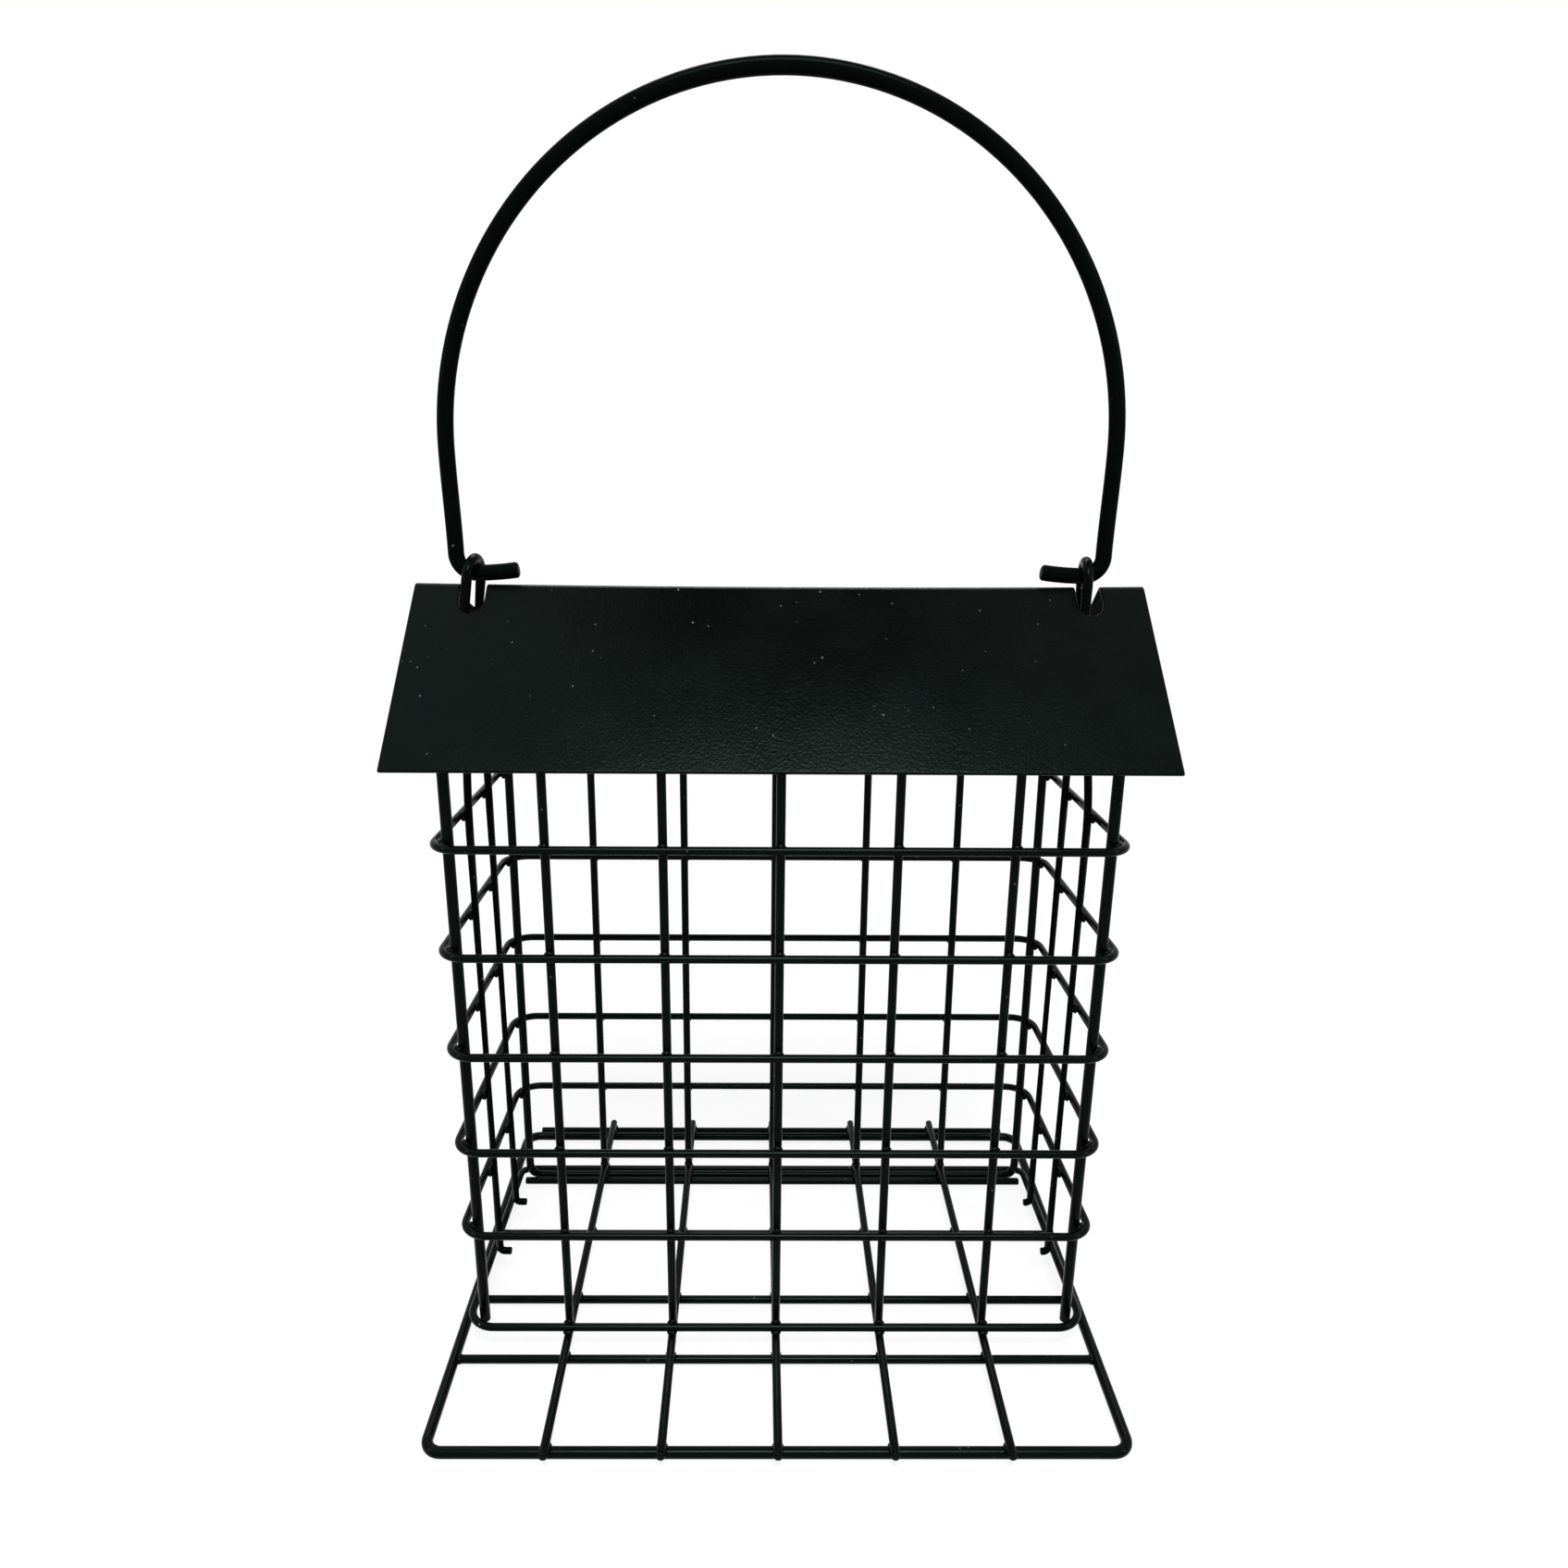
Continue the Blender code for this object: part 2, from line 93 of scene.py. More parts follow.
@dataclass
class Sizes:
    """Sizes of the feeder that its sub-assemblies share, and the places that follow from them."""

    rim_wire: float = 0.0020
    grid_wire: float = 0.0016
    hoop_wire: float = 0.0015
    upright_wire: float = 0.0016
    corner_wire: float = 0.0020
    frame_wire: float = 0.0018
    hanger_wire: float = 0.0015
    bail_wire: float = 0.0029
    weld_gap: float = 0.0003
    cell: float = 0.0200
    cells_each_side: int = 2
    end_bay: float = 0.01935
    front_ledge: float = 0.0245
    rear_ledge: float = 0.0137
    side_ledge: float = 0.00185
    cage_depth: float = 0.0548
    back_lean: float = radians(1.5)
    top_hoop_height: float = 0.1024
    hoop_fall: float = 0.0022
    hoop_corner_radius: float = 0.0050
    sheet: float = 0.0008
    roof_pitch: float = radians(43)
    fold_radius: float = 0.0016
    eave_rise: float = 0.0140
    eave_overhang: float = 0.0028
    gable_overhang: float = 0.0069
    bail_axis_clearance: float = 0.00045
    eye_top_clearance: float = 0.00035
    eye_radius: float = 0.0040

    def __post_init__(self) -> None:
        """Work out the places of the wires' middles, and the roof's lines, from the sizes."""
        gap, half_hoop, half_grid = self.weld_gap, self.hoop_wire / 2, self.grid_wire / 2
        # In plan: the wires that repeat at one cell, the cage and the rim.
        self.grid_places: np.ndarray = np.arange(-self.cells_each_side, self.cells_each_side + 1) * self.cell
        self.cage_half_width: float = self.cells_each_side * self.cell + self.end_bay
        self.rim_half_width: float = self.cage_half_width + self.side_ledge
        self.base_half_depth: float = (self.front_ledge + self.cage_depth + self.rear_ledge) / 2
        self.cage_front_y: float = self.front_ledge - self.base_half_depth
        self.upright_inset: float = half_hoop + gap + self.upright_wire / 2
        self.front_upright_y: float = self.cage_front_y + self.upright_inset
        self.hanger_x: float = self.cage_half_width - half_hoop - gap - self.hanger_wire / 2
        # Heights of the base, whose eight-sided rim in the CAD stands on a flat side.
        self.rim_z: float = self.rim_wire / 2 * cos(pi / 8)
        self.rim_top_z: float = self.rim_z + self.rim_wire / 2
        self.cross_wire_z: float = self.rim_top_z - half_grid
        self.long_wire_z: float = self.rim_top_z + gap + half_grid
        self.long_wire_top_z: float = self.long_wire_z + half_grid
        # The bottom hoop lies on the long wires in front, over the cross wires at its sides' ends, and at
        # the back under the long wires.
        self.bottom_hoop_front_z: float = self.long_wire_top_z + gap + half_hoop
        self.bottom_hoop_corner_z: float = self.rim_top_z + gap + half_hoop
        self.bottom_hoop_rear_z: float = self.long_wire_z - half_grid - gap - half_hoop
        # The ridge is over the middle of the top hoop. Both faces of the slopes would meet above the fold.
        self.ridge_y: float = (self.cage_front_y + self.rear_y(self.top_hoop_height - self.hoop_fall)) / 2
        self.roof_run: float = self.ridge_y - self.front_upright_y + self.eave_overhang
        self.roof_half_length: float = self.cage_half_width + self.gable_overhang
        eave_z = self.top_hoop_height + self.eave_rise
        self.slopes_meet_z: float = eave_z + self.roof_run * tan(self.roof_pitch)
        self.fold_centre_z: float = self.slopes_meet_z - self.fold_radius / cos(self.roof_pitch)
        self.underside_meet_z: float = self.slopes_meet_z - self.sheet / cos(self.roof_pitch)
        # The line that the bail turns about, and the top of each eye.
        half_bail = self.bail_wire / 2
        self.bail_axis_z: float = self.fold_centre_z + self.fold_radius + self.bail_axis_clearance + half_bail
        self.eye_top_z: float = self.bail_axis_z + half_bail + self.eye_top_clearance + self.hanger_wire / 2

    def rear_y(self, height: float | np.ndarray) -> float | np.ndarray:
        """Place of a hoop's rear run at a height, because the back wall leans back as it rises."""
        return self.cage_front_y + self.cage_depth + tan(self.back_lean) * height

    def roof_meets(self, foot_from_ridge: float, lean: float, diameter: float) -> float:
        """Find where an upright ends under the roof.

        Args:
            foot_from_ridge: Level distance from the ridge to the upright's foot.
            lean: Slope of the upright away from the ridge.
            diameter: Diameter of the upright.

        Returns:
            The height of its top, a weld gap under the sheet.
        """
        reach = foot_from_ridge + diameter / 2
        fall = tan(self.roof_pitch)
        return (self.underside_meet_z - self.weld_gap - reach * fall) / (1 + lean * fall)


def unit(vectors: np.ndarray) -> np.ndarray:
    """Scale each vector of an array to length one."""
    return vectors / np.linalg.norm(vectors, axis=-1, keepdims=True)


def spots(x: np.ndarray | float, y: np.ndarray | float, z: np.ndarray | float) -> np.ndarray:
    """Combine places along the axes, each one number or an array, into rows of points."""
    return np.stack(np.broadcast_arrays(x, y, z), axis=-1).reshape(-1, 3)


def arc(centre: tuple[float, float], radius: float, start: float, end: float, steps: int) -> np.ndarray:
    """Work out the points of a flat arc.

    Formula: centre + radius * (cos a, sin a), with the angle a in equal steps from start to end.

    Args:
        centre: The arc's centre.
        radius: The arc's radius.
        start: First angle, in radians.
        end: Last angle, in radians.
        steps: How many chords the arc has.

    Returns:
        An array of steps + 1 points in the plane.
    """
    turn = np.linspace(start, end, steps + 1)
    return np.array(centre) + radius * np.stack([np.cos(turn), np.sin(turn)], axis=1)


def rounded_rectangle(
    half_width: float, front: float, rear: float, radius: float, steps: int = 12, run_steps: int = 7
) -> np.ndarray:
    """Work out a closed outline with round corners.

    Formula: the four quarter arcs of one radius round the corners' centres, joined by straight runs.

    Args:
        half_width: Half of the outline's width along X.
        front: Lowest Y.
        rear: Highest Y.
        radius: Radius of the corners.
        steps: Chords of each corner.
        run_steps: Equal parts of each straight run.

    Returns:
        The outline's points from the front right corner round the rear to the front left one.
    """
    inner, low, high = half_width - radius, front + radius, rear - radius
    centres = ((inner, low), (inner, high), (-inner, high), (-inner, low))
    corners = [arc(centre, radius, (i - 1) * QUARTER, i * QUARTER, steps) for i, centre in enumerate(centres)]
    share = np.linspace(0, 1, run_steps + 1)[1:-1, None]
    runs = [(1 - share) * a[-1] + share * b[0] for a, b in zip(corners, corners[1:] + corners[:1])]
    return np.concatenate([part for pair in zip(corners, runs) for part in pair])


def bent_path(corners: np.ndarray, cuts: np.ndarray, steps: int = 10) -> np.ndarray:
    """Bend a path at its inner corners as a wire bends, without a kink.

    Formula: each inner corner C is replaced by the parabola (1-t)^2 A + 2t(1-t) C + t^2 B, where A and B lie
    one cut length before and behind C on the two runs.

    Args:
        corners: Corner points, the two ends included.
        cuts: Cut length of each inner corner.
        steps: Chords of each bend.

    Returns:
        The points of the bent path.
    """
    inner = corners[1:-1]
    before = inner + unit(corners[:-2] - inner) * cuts[:, None]
    behind = inner + unit(corners[2:] - inner) * cuts[:, None]
    t = np.linspace(0, 1, steps + 1)[None, :, None]
    bends = (1 - t) ** 2 * before[:, None] + 2 * t * (1 - t) * inner[:, None] + t**2 * behind[:, None]
    return np.concatenate([corners[:1], bends.reshape(-1, 3), corners[-1:]])


def mirrored_stations(marks: tuple[float, ...], steps: tuple[int, ...]) -> np.ndarray:
    """Work out stations on both sides of zero.

    Formula: from zero, each run up to the next mark has its number of even steps, and the other side is the
    mirror.

    Args:
        marks: Ends of the runs, rising from zero.
        steps: How many steps each run has.

    Returns:
        The stations from the lowest to the highest.
    """
    runs = zip((0.0, *marks[:-1]), marks, steps)
    half = np.concatenate([np.linspace(start, end, count + 1)[1:] for start, end, count in runs])
    return np.concatenate([-half[::-1], [0.0], half])


def bands(rows: np.ndarray) -> np.ndarray:
    """Join neighbouring rows of vertex numbers, each a closed ring, by faces with four corners."""
    beside = np.roll(rows, -1, axis=1)
    return np.stack([rows[:-1], rows[1:], beside[1:], beside[:-1]], axis=-1).reshape(-1, 4)


def border(block: np.ndarray) -> np.ndarray:
    """Walk once round the border of a block of vertex numbers."""
    return np.concatenate([block[:-1, 0], block[-1, :-1], block[:0:-1, -1], block[0, :0:-1]])


def put_mesh(name: str, vertices: np.ndarray, blocks: list[np.ndarray]) -> bpy.types.Object:
    """Put worked-out arrays into a smooth-shaded mesh object at the origin.

    Args:
        name: The piece's name.
        vertices: Points, one row each.
        blocks: Arrays of faces, one row of vertex numbers for each face.

    Returns:
        The new object, linked to the scene.
    """
    mesh = bpy.data.meshes.new(name)
    mesh.from_pydata(vertices.tolist(), [], [face for block in blocks for face in block.tolist()])
    mesh.polygons.foreach_set("use_smooth", np.ones(len(mesh.polygons), bool))
    mesh.update()
    item = bpy.data.objects.new(name, mesh)
    bpy.context.scene.collection.objects.link(item)
    return item


@dataclass(frozen=True)
class RoundWire:
    """A round wire: a circle carried along a path, with softly rounded cut ends."""

    diameter: float
    sides: int = 24
    end_round: float = 0.00028
    end_steps: int = 5

    def soften_ends(self, path: np.ndarray) -> tuple[np.ndarray, np.ndarray]:
        """Add stations that round both cut ends.

        Formula: with an angle a from zero to a quarter turn, a station lies end_round * (1 - sin a) inside
        the tip, and its radius is the wire's less end_round * (1 - cos a).

        Args:
            path: Points of the open path.

        Returns:
            The stations, and the radius at each.
        """
        turn = np.linspace(0, QUARTER, self.end_steps + 1)
        inset = self.end_round * (1 - np.sin(turn))[:, None]
        slim = self.diameter / 2 - self.end_round * (1 - np.cos(turn))
        head = path[0] + unit(path[1] - path[0]) * inset[::-1]
        tail = path[-1] + unit(path[-2] - path[-1]) * inset
        full = np.full(len(path) - 2, self.diameter / 2)
        return np.concatenate([head, path[1:-1], tail]), np.concatenate([slim[::-1], full, slim])

    def stretched(self, values: np.ndarray) -> np.ndarray:
        """Repeat the first and last row of an array for the stations that round the ends."""
        lead, trail = (end.repeat(self.end_steps, 0) for end in (values[:1], values[-1:]))
        return np.concatenate([lead, values, trail])

    def carry(
        self,
        name: str,
        path: np.ndarray,
        reference: np.ndarray,
        closed: bool = False,
        swell: np.ndarray | float = 1.0,
    ) -> bpy.types.Object:
        """Carry the wire's circle along a path.

        Formula: P(i, j) = station i + radius i * (cos a_j * side + sin a_j * up), where side is square to the
        path and to the reference direction, and up is square to the path and to side.

        Args:
            name: The piece's name.
            path: Points of the wire's middle line.
            reference: A direction, or one for each point, that the path never runs along.
            closed: True for a wire whose ends are welded together.
            swell: How many times thicker the wire is, all along or at each point.

        Returns:
            The wire's object.
        """
        facing = np.broadcast_to(reference, path.shape)
        thicker = np.broadcast_to(swell, len(path))
        radii = np.full(len(path), self.diameter / 2)
        if not closed:
            path, radii = self.soften_ends(path)
            facing, thicker = self.stretched(facing), self.stretched(thicker)
        radii = radii * thicker
        ahead = np.roll(path, -1, 0) - np.roll(path, 1, 0) if closed else np.gradient(path, axis=0)
        tangent = unit(ahead)
        across = unit(np.cross(tangent, facing))
        up = np.cross(across, tangent)
        turn = np.arange(self.sides) * 2 * pi / self.sides
        circle = np.cos(turn)[:, None] * across[:, None] + np.sin(turn)[:, None] * up[:, None]
        vertices = (path[:, None] + radii[:, None, None] * circle).reshape(-1, 3)

        number = np.arange(len(vertices)).reshape(len(path), self.sides)
        if closed:
            return put_mesh(name, vertices, [bands(np.vstack([number, number[:1]]))])
        return put_mesh(name, vertices, [bands(number), number[:1], number[-1:, ::-1]])


@dataclass
class WeldBeads:
    """Small fillets of metal and coat where two wires are welded, gathered into one piece."""

    name: str
    around: int = 12
    rows: int = 6
    squareness: float = 0.85
    centres: list[np.ndarray] = field(default_factory=list)
    frames: list[np.ndarray] = field(default_factory=list)

    def add(self, centres: np.ndarray, first: np.ndarray, second: np.ndarray, halves: Triple) -> None:
        """Add beads of one size.

        Args:
            centres: Places of the beads, one row each.
            first: Direction of the first wire.
            second: Direction of the second wire.
            halves: Half of the bead's size along the first wire, the second, and across both.
        """
        axes = np.stack([unit(first), unit(second), unit(np.cross(first, second))])
        frame = axes * np.array(halves)[:, None]
        self.centres.append(centres)
        self.frames.append(np.broadcast_to(frame, (len(centres), 3, 3)))

    def squared(self, value: np.ndarray) -> np.ndarray:
        """Raise to the squareness and keep the sign."""
        return np.sign(value) * np.abs(value) ** self.squareness

    def build(self) -> bpy.types.Object:
        """Build all the beads as one piece.

        Formula: P(a, b) = centre + frame . (f(cos b) f(cos a), f(cos b) f(sin a), sin b), where f raises to
        the squareness and keeps the sign, a goes round and b goes from pole to pole.

        Returns:
            The beads' object.
        """
        a = np.arange(self.around) * 2 * pi / self.around
        b = np.linspace(-QUARTER, QUARTER, self.rows + 1)[1:-1, None]
        level = self.squared(np.cos(b))
        rings = spots(level * self.squared(np.cos(a)), level * self.squared(np.sin(a)), np.sin(b))
        shape = np.vstack([rings, [[0, 0, -1], [0, 0, 1]]])
        centres, frames = np.concatenate(self.centres), np.concatenate(self.frames)
        vertices = centres[:, None] + shape @ frames

        number = np.arange(len(rings)).reshape(-1, self.around)
        beside = np.roll(number, -1, axis=1)
        low, high = (np.full(self.around, len(rings) + pole) for pole in (0, 1))
        foot = np.stack([low, beside[0], number[0]], axis=-1)
        head = np.stack([high, number[-1], beside[-1]], axis=-1)
        outwards = bands(number)[:, [0, 3, 2, 1]]
        shift = np.arange(len(centres))[:, None, None] * len(shape)
        blocks = [(block + shift).reshape(-1, block.shape[-1]) for block in (outwards, foot, head)]
        return put_mesh(self.name, vertices.reshape(-1, 3), blocks)


class NodeBench:
    """Adds and joins shader nodes in one tree."""

    def __init__(self, tree: bpy.types.NodeTree) -> None:
        """Keep the tree, emptied."""
        self.tree = tree
        tree.nodes.clear()

    def feed(self, target: Socket, value: object) -> None:
        """Link an input to another node's output, or give it a plain value.

        Args:
            target: The input.
            value: An output socket, or a number or colour.
        """
        if isinstance(value, Socket):
            self.tree.links.new(value, target)
        else:
            target.default_value = value

    def add(self, kind: str, numbered: dict[int, object] | None = None, **values: object) -> bpy.types.Node:
        """Add a node.

        Args:
            kind: The node's Blender type.
            numbered: What its inputs get, by their numbers.
            values: Values for its properties, or what its inputs get under their names in lower case with
                underscores.

        Returns:
            The new node.
        """
        node = self.tree.nodes.new(kind)
        named = {socket.name.lower().replace(" ", "_"): socket for socket in reversed(node.inputs)}
        for key, value in values.items():
            if key in named:
                self.feed(named[key], value)
            else:
                setattr(node, key, value)
        for number, value in (numbered or {}).items():
            self.feed(node.inputs[number], value)
        return node

    def maths(self, operation: str, first: Socket, second: Socket | float) -> Socket:
        """Combine two values by one operation."""
        return self.add("ShaderNodeMath", {0: first, 1: second}, operation=operation).outputs[0]

    def blend(self, share: Socket, first: Socket | Triple, second: Triple) -> Socket:
        """Mix two colours by a share."""
        first, second = (part if isinstance(part, Socket) else (*part, 1) for part in (first, second))
        return self.add("ShaderNodeMix", {0: share, 6: first, 7: second}, data_type="RGBA").outputs[2]

    def ramp(self, value: Socket, start: float, end: float, low: float, high: Socket | float) -> Socket:
        """Turn a value from start to end into one from low to high, and hold it outside."""
        spans = {"from_min": start, "from_max": end, "to_min": low, "to_max": high}
        return self.add("ShaderNodeMapRange", value=value, **spans).outputs["Result"]


@dataclass(frozen=True)
class PowderCoat:
    """Semi-gloss black powder coat: orange peel, a fine grain, faint mottling, and a few light specks that
    are painted glints.
    """

    name: str
    colour: Triple = (0.0006, 0.0010, 0.0009)
    mottle_colour: Triple = (0.0014, 0.0021, 0.0019)
    # Colour of the painted glints: light dots mixed into the base colour that stand in for glints of light.
    painted_glint_colour: Triple = (0.10, 0.11, 0.107)
    sheen_colour: Triple = (0.64, 1.0, 0.88)
    roughness_low: float = 0.17
    roughness_high: float = 0.24
    roughness_from: tuple[float, float] = (0.3, 0.7)
    specular: float = 0.040
    peel_scale: float = 1900.0
    peel_depth: float = 0.000042
    peel_harshness: float = 0.45
    grain_scale: float = 6000.0
    grain_depth: float = 0.000005
    grain_harshness: float = 0.6
    fine_detail: float = 2.0
    mottle_scale: float = 60.0
    mottle_detail: float = 4.0
    # Cell scale, dot size and share of cells of the painted glints.
    painted_glint_scale: float = 700.0
    painted_glint_size: float = 0.17
    painted_glint_share: float = 0.08

    def make(self) -> bpy.types.Material:
        """Build the coat's material.

        Returns:
            A material whose colour, gloss and bump come from noise on Object coordinates.
        """
        material = bpy.data.materials.new(self.name)
        material.use_nodes = True
        bench = NodeBench(material.node_tree)
        place = bench.add("ShaderNodeTexCoord").outputs["Object"]

        def noise(scale: float, detail: float, harshness: float) -> Socket:
            """Add a noise on Object coordinates."""
            form = {"vector": place, "scale": scale, "detail": detail, "roughness": harshness}
            return bench.add("ShaderNodeTexNoise", **form).outputs["Fac"]

        peel = noise(self.peel_scale, self.fine_detail, self.peel_harshness)
        grain = noise(self.grain_scale, self.fine_detail, self.grain_harshness)
        mottle = noise(self.mottle_scale, self.mottle_detail, self.grain_harshness)
        shade = bench.blend(mottle, self.colour, self.mottle_colour)

        # Painted glints: sparse light dots in the base colour, standing in for glints of light on the coat.
        glint_cells = bench.add("ShaderNodeTexVoronoi", vector=place, scale=self.painted_glint_scale)
        glint_dot = bench.ramp(glint_cells.outputs["Distance"], self.painted_glint_size, self.painted_glint_size / 2, 0.0, 1.0)
        chance = bench.add("ShaderNodeSeparateColor", {0: glint_cells.outputs["Color"]}).outputs
        chosen = bench.maths("LESS_THAN", chance[0], self.painted_glint_share)
        painted_glints = bench.maths("MULTIPLY", bench.maths("MULTIPLY", chosen, glint_dot), chance[1])

        peel_bump = bench.add("ShaderNodeBump", strength=1.0, distance=self.peel_depth, height=peel)
        finer = {"height": grain, "normal": peel_bump.outputs[0]}
        grain_bump = bench.add("ShaderNodeBump", strength=1.0, distance=self.grain_depth, **finer)
        # The base colour carries the painted glints.
        surface = bench.add(
            "ShaderNodeBsdfPrincipled",
            base_color=bench.blend(painted_glints, shade, self.painted_glint_colour),
            metallic=0.0,
            roughness=bench.ramp(mottle, *self.roughness_from, self.roughness_low, self.roughness_high),
            specular_ior_level=self.specular,
            specular_tint=(*self.sheen_colour, 1),
            normal=grain_bump.outputs[0],
        )
        bench.add("ShaderNodeOutputMaterial", surface=surface.outputs["BSDF"])
        return material


@dataclass
class SubAssembly:
    """Pieces of the feeder that share its sizes, a coat, one of the record's slots and a body."""

    sizes: Sizes
    material: bpy.types.Material
    coat: ClassVar[Coat] = Coat.WIRE
    body: ClassVar[Body] = Body.FEEDER

    def dress(self, item: bpy.types.Object, *nodes: str) -> None:
        """Coat a finished piece, let it ride on its body in place of CAD nodes, and report how well it fits.

        Args:
            item: The finished piece.
            nodes: The CAD nodes that it stands for; none for weld beads.
        """
        item.data.materials.append(self.material)
        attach(item, self.body.value)
        faces = len(item.data.polygons)
        if not nodes:
            LOG.info("%s: %d faces", item.name, faces)
            return
        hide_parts(*nodes)
        boxes = np.array([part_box(node) for node in nodes])
        points = np.empty(len(item.data.vertices) * 3, np.float32)
        item.data.vertices.foreach_get("co", points)
        points = points.reshape(-1, 3)
        low, high = boxes[:, 0].min(0), boxes[:, 1].max(0)
        off = max(np.abs(points.min(0) - low).max(), np.abs(points.max(0) - high).max())
        LOG.info("%s: %d faces, within %.2f mm of its CAD box", item.name, faces, off * 1000)


@dataclass
class BaseGrid(SubAssembly):
    """The wire grid that the feeder stands on: a heavy rim, cross wires in it and long wires on it."""

    rim_corner_radius: float = 0.0030
    long_wire_overhang: float = 0.0030
    cross_wire_shares: tuple[float, ...] = (0.274, 0.483, 0.750)
    rear_pair_gap: float = 0.0009
    crossing_bead: Triple = (0.00109, 0.00109, 0.00060)
    rim_bead: Triple = (0.00098, 0.00086, 0.00075)

    @property
    def cross_runs(self) -> list[tuple[float, float]]:
        """Work out where the cross wires lie.

        Returns:
            Place along Y and reach to each side of each, from the front to the back.
        """
        s = self.sizes
        frame_foot_y = s.rear_y(s.bottom_hoop_rear_z) - s.hoop_wire / 2 - s.weld_gap - s.frame_wire / 2
        last_inside_y = frame_foot_y - s.frame_wire / 2 - self.rear_pair_gap - s.grid_wire / 2
        behind_rail_y = s.base_half_depth + s.rim_wire / 2 + s.weld_gap + s.grid_wire / 2
        between_rails = s.rim_half_width - s.rim_wire / 2 - s.weld_gap
        span = last_inside_y + s.base_half_depth
        runs = [(share * span - s.base_half_depth, between_rails) for share in self.cross_wire_shares]
        runs.append((last_inside_y, s.cage_half_width - s.hoop_wire / 2 - s.weld_gap))
        runs.append((behind_rail_y, s.rim_half_width - self.rim_corner_radius))
        return runs

    def build(self) -> None:
        """Build the rim, the wires and their welds."""
        s = self.sizes
        half_depth = s.base_half_depth
        outline = rounded_rectangle(s.rim_half_width, -half_depth, half_depth, self.rim_corner_radius)
        path = spots(*outline.T, s.rim_z)
        self.dress(RoundWire(s.rim_wire).carry("rim_wire", path, ALONG_Z, closed=True), "base_rim")

        wire = RoundWire(s.grid_wire)
        tip = half_depth + self.long_wire_overhang
        for number, x in enumerate(s.grid_places, 1):
            path = spots(x, [-tip, tip], s.long_wire_z)
            self.dress(wire.carry(f"long_wire_{number}", path, ALONG_Z), f"base_long_wire_{number}")
        for number, (y, reach) in enumerate(self.cross_runs, 1):
            path = spots([-reach, reach], y, s.cross_wire_z)
            self.dress(wire.carry(f"cross_wire_{number}", path, ALONG_Z), f"base_cross_wire_{number}")
        self.dress(self.build_welds())

    def build_welds(self) -> bpy.types.Object:
        """Weld the long wires to all that they cross, and the cross wires' ends to the rim.

        Returns:
            The beads' object.
        """
        s = self.sizes
        beads = WeldBeads("base_welds")
        rows = np.array([y for y, _ in self.cross_runs] + [-s.base_half_depth, s.base_half_depth])[:, None]
        places = spots(s.grid_places, rows, s.rim_top_z + s.weld_gap / 2)
        beads.add(places, ALONG_X, ALONG_Y, self.crossing_bead)
        ends = s.rim_half_width - s.rim_wire / 2 - s.weld_gap / 2
        places = spots([-ends, ends], rows[: len(self.cross_wire_shares)], s.cross_wire_z)
        beads.add(places, ALONG_Y, ALONG_Z, self.rim_bead)
        return beads.build()


